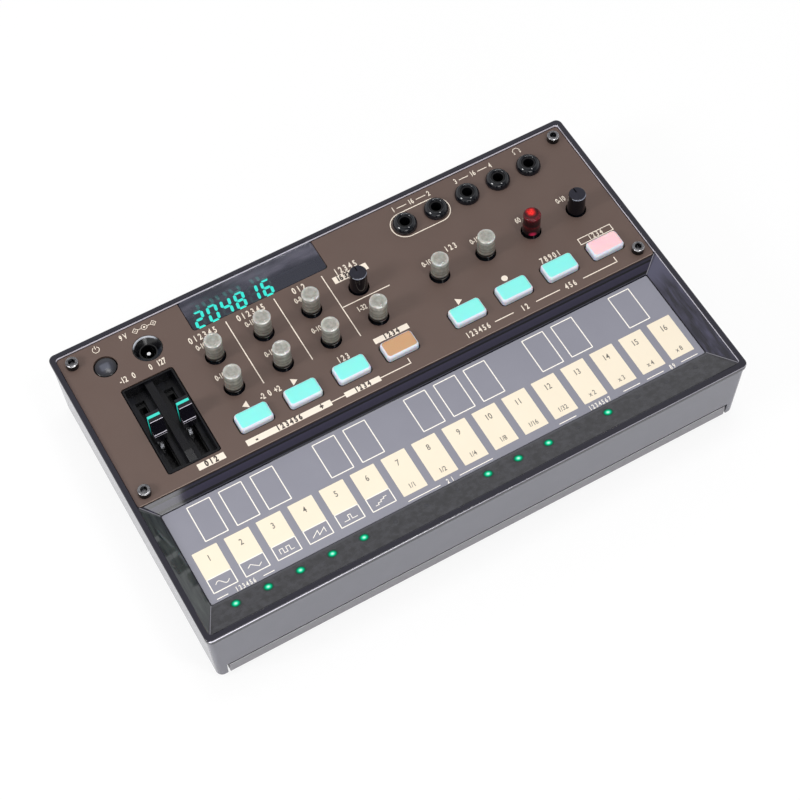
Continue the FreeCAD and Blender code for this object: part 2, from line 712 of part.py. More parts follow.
def jack_collars():
    """Round glossy nuts with a domed section and a funnel mouth."""
    path = [[(3.0, 0), (COLLAR_RADIUS, 0)], [(COLLAR_RADIUS, 0), (3.9, 1.75), (COLLAR_CREST, 2.6)]]
    path.append([(COLLAR_CREST, 2.6), (2.58, 2.42), (COLLAR_MOUTH, 2.0)])
    path += [[(COLLAR_MOUTH, 2.0), (3.0, 2.0)], [(3.0, 2.0), (3.0, 0)]]
    return Part.makeCompound([lathe(path, place, PANEL_TOP) for place in JACKS])


DC_BORE = 2.6
DC_PIN = 0.85
DC_FUNNEL = 2.1


def dc_socket():
    """The power inlet: a funnel at the panel, a round well and the centre pin."""
    top = PANEL_TOP - 0.15
    base = block(DC_PLACE, 9.6, 9.6, CONTROL_TOP, PANEL_UNDER - 0.4)
    body = fused([base, disc(DC_PLACE, 4.85, top - 2.6, top)])
    throat = DC_BORE + 0.35
    body = body.cut(cone(DC_PLACE, throat, 4.55, top - DC_FUNNEL, top))
    body = body.cut(disc(DC_PLACE, DC_BORE, top - 9.0, top + 1))
    pin = disc(DC_PLACE, DC_PIN, top - 9.5, top - 3.2)
    pin = pin.makeFillet(0.4, edges_at(pin, top - 3.2))
    return fused([body, pin])


# Display
MODULE_TOP = RIM_TOP - 6.0


def display_module():
    """The digit block under the window."""
    x0, x1, y0, y1 = DISPLAY
    body = box(x0 + 1.5, x1 - 1.5, y0 + 0.2, y1 - 4.2, CONTROL_TOP, MODULE_TOP)
    return body.makeFillet(0.4, edges_at(body, MODULE_TOP))


# Lower case
def case_section(z, inset=0.0, radius=CORNER_RADIUS):
    """The tapered case's outline at a height."""
    share = (z - CASE_BOTTOM) / (RIM_TOP - RIM_BAND - CASE_BOTTOM)
    grow_x = CASE_LENGTH / 2 - RIM_OVERHANG - BOTTOM_HALF_LENGTH
    grow_y = CASE_DEPTH / 2 - RIM_OVERHANG - BOTTOM_HALF_DEPTH
    half = BOTTOM_HALF_LENGTH + grow_x * share - inset
    deep = BOTTOM_HALF_DEPTH + grow_y * share - inset
    return outline(-half, half, -deep, deep, radius, z)


BOTTOM_SCREWS = [(side * 88.8, y) for side in (-1, 1) for y in (-8.0, 38.0)]
BOTTOM_SCREWS += [(-45.0, 51.2), (45.0, 51.2)]
BOSS_RADIUS = 2.7
RIB_HALF = 1.0
TRAY_BOSS_FOOT = RIM_TOP - 19.0
COVER_BOSS_TOP = RIM_TOP - 15.2


def side_rib(x, y, reach, low, high):
    """A rib from a pillar out to the end wall on its side."""
    x0, x1 = sorted((x, math.copysign(reach, x)))
    return box(x0, x1, y - RIB_HALF, y + RIB_HALF, low, high)


def housing_bosses():
    """Screw pillars, each tied to the nearest wall by a rib."""
    pillars = []
    for x, y in PANEL_SCREWS:
        pillars.append(disc((x, y), BOSS_RADIUS, TRAY_BOSS_FOOT, TRAY_UNDER))
        pillars.append(side_rib(x, y, BOTTOM_HALF_LENGTH - 0.6, TRAY_BOSS_FOOT, TRAY_UNDER))
    for x, y in BOTTOM_SCREWS:
        pillars.append(disc((x, y), BOSS_RADIUS, FLOOR_TOP, COVER_BOSS_TOP))
        if abs(y) < 50:
            pillars.append(side_rib(x, y, BOTTOM_HALF_LENGTH - 1.2, FLOOR_TOP, COVER_BOSS_TOP))
        else:
            above_strip = CASE_BOTTOM + STRIP_HEIGHT + 0.4
            pillars.append(box(x - RIB_HALF, x + RIB_HALF, y, 55.5, above_strip, COVER_BOSS_TOP))
    return pillars


def main_housing():
    high = RIM_TOP - RIM_BAND
    shell = Part.makeLoft([case_section(CASE_BOTTOM), case_section(high)], True, True)
    inner = [case_section(CASE_BOTTOM - 0.01, WALL, INNER_CORNER)]
    inner.append(case_section(high + 0.01, WALL, INNER_CORNER))
    shell = shell.cut(Part.makeLoft(inner, True, True))
    rebate = STEP_INSET - 0.1
    half = CASE_LENGTH / 2 - rebate
    deep = CASE_DEPTH / 2 - rebate
    shell = shell.cut(plate(-half, half, -deep, deep, STEP_CORNER + 0.1,
                            RIM_TOP - TRAY_STEP - 0.1, RIM_TOP))
    notch_half = STRIP_HALF + NOTCH_GAP
    for side in (-1, 1):
        y0, y1 = sorted((side * 40.0, side * 60.0))
        shell = shell.cut(box(-notch_half, notch_half, y0, y1, CASE_BOTTOM - 1,
                              CASE_BOTTOM + STRIP_HEIGHT))
    body = fused([shell] + housing_bosses())
    for place in PANEL_SCREWS:
        body = body.cut(disc(place, 1.25, RIM_TOP - 14.0, RIM_TOP))
    for place in BOTTOM_SCREWS:
        body = body.cut(disc(place, 1.25, FLOOR_TOP - 1, FLOOR_TOP + 8.0))
    return body


# Bottom cover with the battery bay, speaker grille and foot seats
DOOR = (-58.0, 58.0, -53.2, -7.4)
DOOR_GAP = 0.3
LEDGE = 2.0
GRILLE_RADIUS = 11.5
FEET = [(x, y) for x in (-84.5, 84.5) for y in (-47.5, 47.5)]
FOOT_RADIUS = 5.0
HOOKS = [(x, side) for x in (-40.0, 0.0, 40.0) for side in (-1, 1)]
HOOK_HALF = 3.0
BAY_WALL = 1.2
BAY_TOP = FLOOR_TOP + 12.0


def cover_floor():
    """The floor plate with the strips that show between the case's legs, a lip behind each seam."""
    floor = plate(-92.7, 92.7, -54.2, 54.2, 2.0, CASE_BOTTOM, FLOOR_TOP)
    outer = Part.makeLoft([case_section(CASE_BOTTOM), case_section(CASE_BOTTOM + 10)], True, True)
    inner = [case_section(CASE_BOTTOM - 0.01, WALL, INNER_CORNER)]
    inner.append(case_section(CASE_BOTTOM + 10.01, WALL, INNER_CORNER))
    ring = outer.cut(Part.makeLoft(inner, True, True))
    strips = []
    strip_top = CASE_BOTTOM + STRIP_HEIGHT - SEAM_GAP
    for side in (-1, 1):
        y0, y1 = sorted((side * 50.0, side * 60.0))
        window = box(-STRIP_HALF, STRIP_HALF, y0, y1, CASE_BOTTOM, strip_top)
        strip = ring.common(window)
        strips.append(strip.makeChamfer(EDGE_BREAK, edges_at(strip, strip_top)))
        y0, y1 = sorted((side * SEAM_LIP[0], side * 55.2))
        strips.append(box(-STRIP_HALF, STRIP_HALF, y0, y1, CASE_BOTTOM, strip_top - 0.3))
        y0, y1 = sorted((side * SEAM_LIP[0], side * SEAM_LIP[1]))
        strips.append(box(1 - STRIP_HALF, STRIP_HALF - 1, y0, y1, CASE_BOTTOM,
                          CASE_BOTTOM + STRIP_HEIGHT + SEAM_LIP_RISE))
    return fused([floor] + strips)


def bay_walls():
    """Upright walls round the cells."""
    x = BAY_HALF + 0.6
    y0 = CELL_ROWS[0] - 7.9
    y1 = CELL_ROWS[2] + 7.9
    outer = box(-x - BAY_WALL, x + BAY_WALL, y0 - BAY_WALL, y1 + BAY_WALL, FLOOR_TOP - 0.5, BAY_TOP)
    return outer.cut(box(-x, x, y0, y1, CASE_BOTTOM, RIM_TOP))


def grille_slots():
    """Straight slots across a circle, each as long as its chord."""
    slots = []
    step = 2.6
    for index in range(-4, 5):
        offset = index * step
        half = math.sqrt(GRILLE_RADIUS ** 2 - offset ** 2)
        x = SPEAKER_PLACE[0] + offset
        slots.append(round_plate((x, SPEAKER_PLACE[1]), 1.3, 2 * half, 0.6,
                                 CASE_BOTTOM - 1, FLOOR_TOP + 1))
    return slots


def bottom_cover():
    body = fused([cover_floor(), bay_walls()])
    x0, x1, y0, y1 = DOOR
    recess = plate(x0 - DOOR_GAP, x1 + DOOR_TRAVEL + DOOR_GAP, y0 - DOOR_GAP, y1 + DOOR_GAP, 1.3,
                   CASE_BOTTOM - 1, CASE_BOTTOM + DOOR_THICK)
    body = body.cut(recess)
    opening_y0 = y0 + LEDGE
    opening_y1 = y1 - LEDGE
    body = body.cut(plate(x0 + LEDGE, x1 - LEDGE, opening_y0, opening_y1, 1.0,
                          CASE_BOTTOM - 1, FLOOR_TOP + 1))
    for x, side in HOOKS:
        edge = opening_y0 if side < 0 else opening_y1
        low, high = sorted((edge - side * 0.5, edge + side * 1.3))
        body = body.cut(box(x + DOOR_TRAVEL - HOOK_HALF - 0.4, x + DOOR_TRAVEL + HOOK_HALF + 0.4,
                            low, high, CASE_BOTTOM, FLOOR_TOP + 0.01))
    for slot in grille_slots():
        body = body.cut(slot)
    ring = disc(SPEAKER_PLACE, SPEAKER_RADIUS + 1.6, FLOOR_TOP - 0.5, FLOOR_TOP + 2.0)
    ring = ring.cut(disc(SPEAKER_PLACE, SPEAKER_RADIUS + 0.15, FLOOR_TOP - 1, FLOOR_TOP + 3))
    ring = ring.common(box(60.0, 92.5, -54.0, 0.0, 0.0, RIM_TOP))
    posts = [disc(place, 2.6, FLOOR_TOP - 0.5, MAIN_UNDER) for place in MAIN_POSTS]
    body = fused([body, ring] + posts)
    for place in MAIN_POSTS:
        body = body.cut(disc(place, 1.15, MAIN_UNDER - 3.5, MAIN_UNDER + 1))
    for place in BOTTOM_SCREWS:
        body = body.cut(disc(place, 1.35, CASE_BOTTOM - 1, FLOOR_TOP + 1))
        body = body.cut(disc(place, 2.5, CASE_BOTTOM - 1, CASE_BOTTOM + 1.4))
    for place in FEET:
        body = body.cut(disc(place, FOOT_RADIUS + 0.1, CASE_BOTTOM - 1, CASE_BOTTOM + 0.5))
    return body


def battery_door():
    """The sliding lid under the cells, with hooks over the cover's ledges and a ribbed grip."""
    x0, x1, y0, y1 = DOOR
    body = plate(x0, x1, y0, y1, 1.0, CASE_BOTTOM, CASE_BOTTOM + DOOR_THICK - 0.05)
    opening = {-1: y0 + LEDGE, 1: y1 - LEDGE}
    pieces = [body]
    for x, side in HOOKS:
        edge = opening[side]
        low, high = sorted((edge - side * 0.4, edge - side * 1.3))
        pieces.append(box(x - HOOK_HALF, x + HOOK_HALF, low, high,
                          CASE_BOTTOM + 1.0, FLOOR_TOP + 0.85))
        low, high = sorted((edge - side * 1.3, edge + side * 1.0))
        pieces.append(box(x - HOOK_HALF, x + HOOK_HALF, low, high,
                          FLOOR_TOP + 0.15, FLOOR_TOP + 0.85))
    body = fused(pieces)
    for index in range(5):
        x = 46.0 + 2.0 * index
        groove = box(x, x + 0.9, -38.0, -22.6, CASE_BOTTOM - 1, CASE_BOTTOM + 0.5)
        body = body.cut(groove)
    return body


def bottom_screws():
    screws = []
    for x, y in BOTTOM_SCREWS:
        head = disc((x, y), 2.2, CASE_BOTTOM + 0.1, CASE_BOTTOM + 1.4)
        slot = box(x - 1.3, x + 1.3, y - 0.3, y + 0.3, CASE_BOTTOM, CASE_BOTTOM + 0.7)
        cross = box(x - 0.3, x + 0.3, y - 1.3, y + 1.3, CASE_BOTTOM, CASE_BOTTOM + 0.7)
        shank = disc((x, y), 1.2, CASE_BOTTOM + 1.4, CASE_BOTTOM + 9.0)
        screws.append(fused([head, shank]).cut(slot).cut(cross))
    return Part.makeCompound(screws)


def rubber_feet():
    feet = []
    for place in FEET:
        body = cone(place, FOOT_RADIUS - 0.6, FOOT_RADIUS, 0, CASE_BOTTOM + 0.5)
        body = body.makeFillet(0.6, edges_at(body, 0))
        feet.append(body)
    return Part.makeCompound(feet)


# Battery cells and contacts
CELL_Z = CASE_BOTTOM + DOOR_THICK + 0.1 + CELL_RADIUS


def cell_layout():
    """Centres of the cells as (x, y, way that the positive end points)."""
    places = []
    for row, y in enumerate(CELL_ROWS):
        way = 1 if row % 2 == 0 else -1
        for x in (-25.7, 25.7):
            places.append((x, y, way))
    return places


def battery_cells():
    cells = []
    for x, y, way in cell_layout():
        can = Part.makeCylinder(CELL_RADIUS, CELL_LENGTH, V(x - CELL_LENGTH / 2, y, CELL_Z), V(1, 0, 0))
        tip = x + way * CELL_LENGTH / 2
        start = tip if way > 0 else tip - 1.0
        nub = Part.makeCylinder(2.6, 1.0, V(start, y, CELL_Z), V(1, 0, 0))
        cells.append(fused([can, nub]))
    return Part.makeCompound(cells)


def cell_contacts():
    """End plates in the bay, with a stepped spring where the flat end of a cell sits."""
    plates = []
    face = BAY_HALF + 0.6
    for row, y in enumerate(CELL_ROWS):
        way = 1 if row % 2 == 0 else -1
        for side in (-1, 1):
            x0, x1 = sorted((side * face, side * (face - 0.4)))
            tab = box(x0, x1, y - 5.0, y + 5.0, CELL_Z - 5.0, BAY_TOP - 0.5)
            inner = side * (face - 0.4)
            end = 50.7 if side != way else 51.75
            reach = abs(inner) - end
            start = V(inner, y, CELL_Z)
            spring = Part.makeCone(4.0, 2.2, reach, start, V(-side, 0, 0))
            plates.append(fused([tab, spring]))
    return Part.makeCompound(plates)


# Loudspeaker
def speaker_frame():
    """The pressed frame and magnet, standing on the grille."""
    base = FLOOR_TOP
    profile = [(SPEAKER_RADIUS - 1.4, 0), (SPEAKER_RADIUS, 0), (SPEAKER_RADIUS, 1.2)]
    profile += [(SPEAKER_RADIUS - 1.4, 1.2), (9.0, 4.4), (8.6, 7.6), (0, 7.6), (0, 5.0), (7.6, 5.0)]
    profile += [(8.4, 3.6), (SPEAKER_RADIUS - 1.6, 0.6)]
    return turned(profile, SPEAKER_PLACE, base)


def speaker_cone():
    """The paper cone and dust cap, inside the frame."""
    outer = SPEAKER_RADIUS - 1.7
    profile = [(0, 2.6), (3.2, 3.0), (outer, 0.5), (outer, 0.25), (3.4, 2.5), (2.4, 1.9), (0, 1.6)]
    return turned(profile, SPEAKER_PLACE, FLOOR_TOP)


def build():
    write("top_frame", top_frame())
    write("top_panel", top_panel())
    write("display_window", display_window())
    write("display_module", display_module())
    write("panel_screws", panel_screws())
    write("touch_sheet", touch_sheet())
    write("touch_board", touch_board())
    write("step_leds", step_leds())
    write("control_board", control_board())
    write("main_board", main_board())
    write("board_connector", board_connector())
    write("main_chips", main_chips())
    write("board_screws", board_screws())
    write("pot_bodies", pot_bodies())
    for name, place in CLEAR_KNOBS.items():
        write(name, clear_knob(place))
    for name, place in CAPPED_KNOBS.items():
        write(name + "_knob", knob_cap(place))
        write(name + "_shaft", knob_shaft(place))
    for name, place in BUTTONS.items():
        write(name, button(place))
    write("button_switches", button_switches())
    write("power_button", power_button())
    write("power_switch", power_switch())
    write("slider_well", slider_well())
    write("slide_pots", slide_pots())
    for name, place in zip(("left", "right"), SLIDER_RESTS):
        write(name + "_slider_cap", slider_cap(place))
        write(name + "_slider_lever", slider_lever(place))
    write("jack_sockets", jack_sockets())
    write("jack_collars", jack_collars())
    write("dc_socket", dc_socket())
    write("main_housing", main_housing())
    write("bottom_cover", bottom_cover())
    write("battery_door", battery_door())
    write("bottom_screws", bottom_screws())
    write("rubber_feet", rubber_feet())
    write("battery_cells", battery_cells())
    write("cell_contacts", cell_contacts())
    write("speaker_frame", speaker_frame())
    write("speaker_cone", speaker_cone())


build()
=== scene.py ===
import bpy
import math
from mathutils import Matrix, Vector


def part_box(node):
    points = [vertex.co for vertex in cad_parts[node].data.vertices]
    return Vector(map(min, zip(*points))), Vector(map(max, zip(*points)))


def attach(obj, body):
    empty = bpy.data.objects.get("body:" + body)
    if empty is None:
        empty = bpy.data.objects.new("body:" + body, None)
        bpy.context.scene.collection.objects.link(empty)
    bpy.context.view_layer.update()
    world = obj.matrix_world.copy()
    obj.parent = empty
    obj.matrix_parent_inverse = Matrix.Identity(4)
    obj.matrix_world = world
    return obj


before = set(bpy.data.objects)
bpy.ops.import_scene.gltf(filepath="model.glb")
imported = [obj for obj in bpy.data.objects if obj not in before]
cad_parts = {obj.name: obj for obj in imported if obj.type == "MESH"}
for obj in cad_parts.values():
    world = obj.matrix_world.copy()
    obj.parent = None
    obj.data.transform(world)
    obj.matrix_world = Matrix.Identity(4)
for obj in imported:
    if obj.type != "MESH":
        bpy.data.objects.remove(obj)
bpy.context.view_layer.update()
MM = 0.001


# Levels and places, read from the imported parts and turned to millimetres
def box_mm(name):
    """A part's lowest and highest corners, in millimetres."""
    low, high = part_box(name)
    return [v / MM for v in low], [v / MM for v in high]


def centre_mm(name):
    """A part's middle in plan, in millimetres."""
    low, high = box_mm(name)
    return (low[0] + high[0]) / 2, (low[1] + high[1]) / 2


RIM_TOP = box_mm("top_frame")[1][2]
PANEL_TOP = box_mm("top_panel")[1][2]
SHEET_LOW, SHEET_HIGH = box_mm("touch_sheet")
SHEET_TOP = SHEET_HIGH[2]
BUTTON_TOP = box_mm("play_button")[1][2]
MODULE_TOP = box_mm("display_module")[1][2]
LEDS_LOW, LEDS_HIGH = box_mm("step_leds")
LED_WIDTH = 3.0
LED_ROW = (LEDS_LOW[1] + LEDS_HIGH[1]) / 2
LIT_STEPS = (0, 1, 2, 3, 4, 8, 9, 10, 12)
KEY_COUNT = 16
KEY_PITCH = (LEDS_HIGH[0] - LEDS_LOW[0] - LED_WIDTH) / (KEY_COUNT - 1)
INK = 0.02
SCREW_HEAD_RADIUS = 2.1
# The slider well's floor, the two lips down a slider cap's front, and the foot of its lit plate
SLIDER_FLOOR = RIM_TOP - 6.0
CAP_LIPS = (6.0, 7.1)
LINE_FOOT = RIM_TOP - 3.8
# The cover's turned-up strips: their top, and how far out from the middle they begin
STRIP_TOP = 7.35
STRIP_OUT = (53.9, 54.0)
# The tray's slopes: where they start beside the sheet, how far each runs out, how high they rise
FRONT_GAP, SHEET_GAP = 0.1, 0.35
WELL_FRONT = SHEET_LOW[1] - FRONT_GAP
WELL_BACK = SHEET_HIGH[1] + SHEET_GAP
WELL_SIDE = SHEET_HIGH[0] + SHEET_GAP
SLOPE_RUN = 10.7
SLOPE_RISE = 4.2
SLOPE_TILT = math.atan2(SLOPE_RISE, SLOPE_RUN)
SLOPE_HEAD = RIM_TOP - 0.8
SIDE_RUN = 5.2
BACK_RUN = 3.9


def key_x(index):
    """X of a step key, counted from 0 at the slider end."""
    return (index - (KEY_COUNT - 1) / 2) * KEY_PITCH


# Colour and material helpers
def paint(code):
    """A linear colour from an sRGB hex code."""
    parts = [int(code[i:i + 2], 16) / 255 for i in (0, 2, 4)]
    linear = [c / 12.92 if c <= 0.04045 else ((c + 0.055) / 1.055) ** 2.4 for c in parts]
    return (*linear, 1.0)


def add(tree, kind, inputs=None, **settings):
    """Adds a shader node with its settings, and links or values for its inputs."""
    item = tree.nodes.new("ShaderNode" + kind)
    for field, value in settings.items():
        setattr(item, field, value)
    for socket, value in (inputs or {}).items():
        if isinstance(value, bpy.types.NodeSocket):
            tree.links.new(value, item.inputs[socket])
        else:
            item.inputs[socket].default_value = value
    return item


def new_material(name):
    """An empty node material and its tree."""
    material = bpy.data.materials.new(name)
    material.use_nodes = True
    material.node_tree.nodes.clear()
    return material, material.node_tree


def finish(material, inputs, kind="BsdfPrincipled"):
    """Ends a material with its shader, and hands it back."""
    shader = add(material.node_tree, kind, inputs)
    add(material.node_tree, "OutputMaterial", {"Surface": shader.outputs[0]})
    return material


def where(tree):
    """Object coordinates, the same split into X, Y and Z, and the way the surface faces."""
    place = add(tree, "TexCoord").outputs["Object"]
    facing = add(tree, "NewGeometry").outputs["Normal"]
    return (place, add(tree, "SeparateXYZ", {"Vector": place}).outputs,
            add(tree, "SeparateXYZ", {"Vector": facing}).outputs)


def calc(tree, operation, *values):
    """A maths node's result."""
    return add(tree, "Math", dict(enumerate(values)), operation=operation).outputs[0]


def vector(tree, operation, *values):
    """A vector maths node's result: a length or dot product, or else a vector."""
    outlet = "Value" if operation in ("LENGTH", "DOT_PRODUCT") else "Vector"
    return add(tree, "VectorMath", dict(enumerate(values)), operation=operation).outputs[outlet]


def product(tree, *factors):
    """The product of masks; a value with its start and end stands for the mask between them."""
    masks = [between(tree, *factor) if isinstance(factor, tuple) else factor for factor in factors]
    whole = masks[0]
    for mask in masks[1:]:
        whole = calc(tree, "MULTIPLY", whole, mask)
    return whole


def between(tree, value, start, end, low=0.0, high=1.0):
    """Runs evenly from low to high while a value runs from start to end."""
    return add(tree, "MapRange", {"Value": value, "From Min": start, "From Max": end,
                                  "To Min": low, "To Max": high}).outputs["Result"]


def within(tree, value, start, end, low=0.0, high=1.0):
    """The same, where start and end are places in millimetres."""
    return between(tree, value, start * MM, end * MM, low, high)


def band(tree, value, low, high, soft):
    """One while a place lies between two limits in millimetres, nought outside them."""
    return product(tree, within(tree, value, low - soft, low), within(tree, value, high + soft, high))


def speckle(tree, size, detail=2.0, stretch=None, turn=0.0, twist=0.0):
    """Noise whose grains have a real size in millimetres, drawn out if a stretch is given."""
    place = add(tree, "TexCoord").outputs["Object"]
    if stretch:
        place = add(tree, "Mapping", {"Vector": place, "Rotation": (0, 0, turn),
                                      "Scale": stretch}).outputs["Vector"]
    return add(tree, "TexNoise", {"Vector": place, "Scale": 1 / (size * MM), "Detail": detail,
                                  "Distortion": twist}).outputs["Fac"]


def grain(tree, size, depth, detail=1.0):
    """A normal roughened by fine noise, its size and depth in millimetres."""
    return add(tree, "Bump", {"Height": speckle(tree, size, detail),
                              "Distance": depth * MM}).outputs["Normal"]


def blend(tree, factor, low, high):
    """One colour or the other, by a factor; each a hex code or a socket."""
    ends = [paint(end) if isinstance(end, str) else end for end in (low, high)]
    return add(tree, "Mix", {"Factor": factor, "A": ends[0], "B": ends[1]},
               data_type="RGBA").outputs["Result"]


def ramp(tree, value, stops):
    """A colour running through stops, each a share from 0 to 1 and a hex code."""
    item = add(tree, "ValToRGB", {"Fac": value})
    ends = item.color_ramp.elements
    for end, (share, code) in zip((ends[0], ends[1]), (stops[0], stops[-1])):
        end.position = share
        end.color = paint(code)
    for share, code in stops[1:-1]:
        ends.new(share).color = paint(code)
    return item.outputs["Color"]


def reach(tree, place, centre, axes=(1, 1, 0)):
    """Distance from a place in millimetres, in plan or, with all three axes, in space."""
    middle = [v * MM for v in centre] + [0] * (3 - len(centre))
    return vector(tree, "LENGTH", vector(tree, "MULTIPLY", vector(tree, "SUBTRACT", place, middle), axes))


def rounded_mask(tree, place, centre, half, radius, soft):
    """One inside a rectangle with round corners, nought outside, with a soft edge."""
    moved = vector(tree, "SUBTRACT", place, (centre[0] * MM, centre[1] * MM, 0))
    inner = ((half[0] - radius) * MM, (half[1] - radius) * MM, 0)
    past = vector(tree, "SUBTRACT", vector(tree, "ABSOLUTE", moved), inner)
    flat = vector(tree, "MULTIPLY", vector(tree, "MAXIMUM", past, (0, 0, 0)), (1, 1, 0))
    return within(tree, vector(tree, "LENGTH", flat), radius + soft, radius - soft)


def painted_highlight_edge(tree, facing):
    """The broken edge on the front half of a crown, where painted highlights of the lamps go."""
    return product(tree, (facing["Z"], 0.2, 0.35), (facing["Z"], 0.96, 0.85),
                   (facing["Y"], -0.2, -0.5))


def mottle(tree, tone, size, detail, low, high):
    """A colour made darker and lighter in small clouds."""
    shade = between(tree, speckle(tree, size, detail), 0.3, 0.7, low, high)
    return add(tree, "HueSaturation", {"Color": tone, "Value": shade}).outputs["Color"]


def mitre(tree, parts, low, high):
    """Nearness to the line in plan in which two slopes meet, on both sides of the middle."""
    length = math.dist(low, high)
    way = ((high[0] - low[0]) / length, (high[1] - low[1]) / length)
    across = calc(tree, "ABSOLUTE", parts["X"])
    first = calc(tree, "MULTIPLY_ADD", across, way[1], (low[1] * way[0] - low[0] * way[1]) * MM)
    off = calc(tree, "MULTIPLY_ADD", parts["Y"], -way[0], first)
    return within(tree, calc(tree, "ABSOLUTE", off), 0.16, 0.08)


# Finishes
def surface(name, light, dark, rough, skin, further=None, cloud=9.0):
    """A moulded or painted surface: two close colours in soft clouds, fine grain, uneven gloss."""
    material, tree = new_material(name)
    clouds = speckle(tree, cloud, 3.0)
    return finish(material, {
        "Base Color": blend(tree, clouds, dark, light), "Roughness": between(tree, clouds, 0, 1, *rough),
        "Normal": grain(tree, *skin), **(further or {})})


def painted_edge_light(material, pale, tone, pale_code, strength, ior, rough):
    """Dark glossy clear plastic, with light painted in where the mask says: a pale colour that also glows."""
    tree = material.node_tree
    return finish(material, {
        "Base Color": blend(tree, pale, tone, pale_code), "IOR": ior,
        "Roughness": between(tree, speckle(tree, 14.0, 3.0), 0, 1, *rough),
        "Emission Color": paint(pale_code), "Emission Strength": product(tree, pale, strength),
        "Normal": grain(tree, 9.0, 0.03)})


def smoked_polycarbonate():
    """Smoked polycarbonate, near black, with painted reflections in streaks on the side slopes and
    moulded steps showing through the back one. Light is painted into it as pale lines that also glow:
    on the upright inner steps, where daylight shows through the thin plastic, as a highlight along the
    rim's front edge, and where the slopes meet."""
    material, tree = new_material("smoked_polycarbonate")
    _, parts, facing = where(tree)
    low, high = box_mm("top_frame")
    # Painted light: pale lines on the upright inner steps, where daylight shows through the thin plastic
    inside = [band(tree, parts[axis], start, end, 0.02) for axis, start, end in
              (("X", low[0] + 1, high[0] - 1), ("Y", low[1] + 1, high[1] - 1),
               ("Z", PANEL_TOP + 0.05, RIM_TOP))]
    step = product(tree, (facing["Z"], 0.36, 0.34), *inside)
    # A painted highlight on the rim's front edge, fading from the slider end on
    rounded = product(tree, (facing["Y"], -0.35, -0.5), (facing["Y"], -0.92, -0.8))
    edge = product(tree, rounded, within(tree, parts["X"], -92, -20, 1.3, 0.4),
                   within(tree, parts["Z"], RIM_TOP - 0.6, RIM_TOP - 0.5),
                   within(tree, parts["Y"], low[1] + 0.7, low[1] + 0.6))
    # Painted pale lines where the slopes meet
    sloped = product(tree, band(tree, parts["Z"], SHEET_TOP + 0.1, SLOPE_HEAD - 0.05, 0.02),
                     (facing["Z"], 0.3, 0.4), (facing["Z"], 0.995, 0.98))
    ends = [product(tree, mitre(tree, parts, (WELL_SIDE, start), (WELL_SIDE + SIDE_RUN, start + run)),
                    within(tree, parts["Y"], start + soft, start))
            for start, run, soft in ((WELL_FRONT, -SLOPE_RUN, 0.3), (WELL_BACK, BACK_RUN, -0.3))]
    line = product(tree, calc(tree, "MAXIMUM", *ends), sloped, 0.22)
    pale = calc(tree, "MAXIMUM", calc(tree, "MAXIMUM", step, edge), line)
    # The back slope's steps
    tone = blend(tree, speckle(tree, 14.0, 3.0), "1A1924", "201F2B")
    steps = ramp(tree, within(tree, parts["Z"], SHEET_TOP, SLOPE_HEAD),
                 [(0.0, "3C3C48"), (0.05, "3C3C48"), (0.09, "08080C"), (0.2, "08080C"), (0.24, "2B2839"),
                  (0.6, "322F43"), (0.64, "0A0A0E"), (0.7, "0A0A0E"), (0.74, "262433"), (1.0, "1C1B27")])
    back, left, right, front = [
        product(tree, sloped, (facing[axis], start, end)) for axis, start, end in
        (("Y", -0.4, -0.6), ("X", 0.4, 0.6), ("X", -0.4, -0.6), ("Y", 0.2, 0.3))]
    tone = blend(tree, back, tone, steps)
    # Painted reflections on the side slopes, in streaks, and a paler painted reflection at the right one's
    # back end
    streak = between(tree, speckle(tree, 1.3, 3.0, (1, 0.16, 1), 0.2, 0.3), 0.4, 0.8)
    tone = blend(tree, left, tone, blend(tree, streak, "262C2F", "454B4A"))
    painted_back_reflection = within(tree, parts["Y"], WELL_BACK - 9.0, WELL_BACK - 1.0)
    tone = blend(tree, right, tone, blend(tree, painted_back_reflection, blend(tree, streak, "1B1A27", "47455C"), "4C4B60"))
    # The front slope's clouds, and the groove above it, painted black as shade
    patchy = between(tree, speckle(tree, 2.2, 4.0), 0.35, 0.7)
    beside = within(tree, parts["Z"], SHEET_TOP + 0.5, SHEET_TOP + 0.1)
    clouded = blend(tree, beside, blend(tree, patchy, "1A1A1F", "34343A"), "3E3E45")
    tone = blend(tree, front, tone, clouded)
    lip = WELL_FRONT - SLOPE_RUN
    groove = product(tree, band(tree, parts["Y"], lip - 0.02, lip + 0.47, 0.02),
                     within(tree, parts["Z"], SLOPE_HEAD + 0.02, SLOPE_HEAD - 0.05))
    tone = blend(tree, groove, tone, "000000")
    return painted_edge_light(material, pale, tone, "D8D5E0", 0.3, 1.58, (0.02, 0.05))


def painted_panel():
    """Satin brown paint with a fine spray grain, with a painted highlight along the broken front edge."""
    material, tree = new_material("satin_brown_paint")
    _, parts, facing = where(tree)
    cloud = speckle(tree, 9.0, 3.0)
    edge = box_mm("top_panel")[0][1]
    # A painted highlight along the broken front edge
    front = product(tree, (facing["Y"], -0.3, -0.45), (facing["Z"], 0.3, 0.45),
                    within(tree, parts["Y"], edge + 1.0, edge + 0.6))
    return finish(material, {
        "Base Color": blend(tree, front, blend(tree, cloud, "5E4C45", "62514A"), "9C8A80"),
        "Roughness": between(tree, cloud, 0, 1, 0.42, 0.5), "IOR": 1.5, "Specular IOR Level": 0.35,
        "Normal": grain(tree, 0.25, 0.003)})


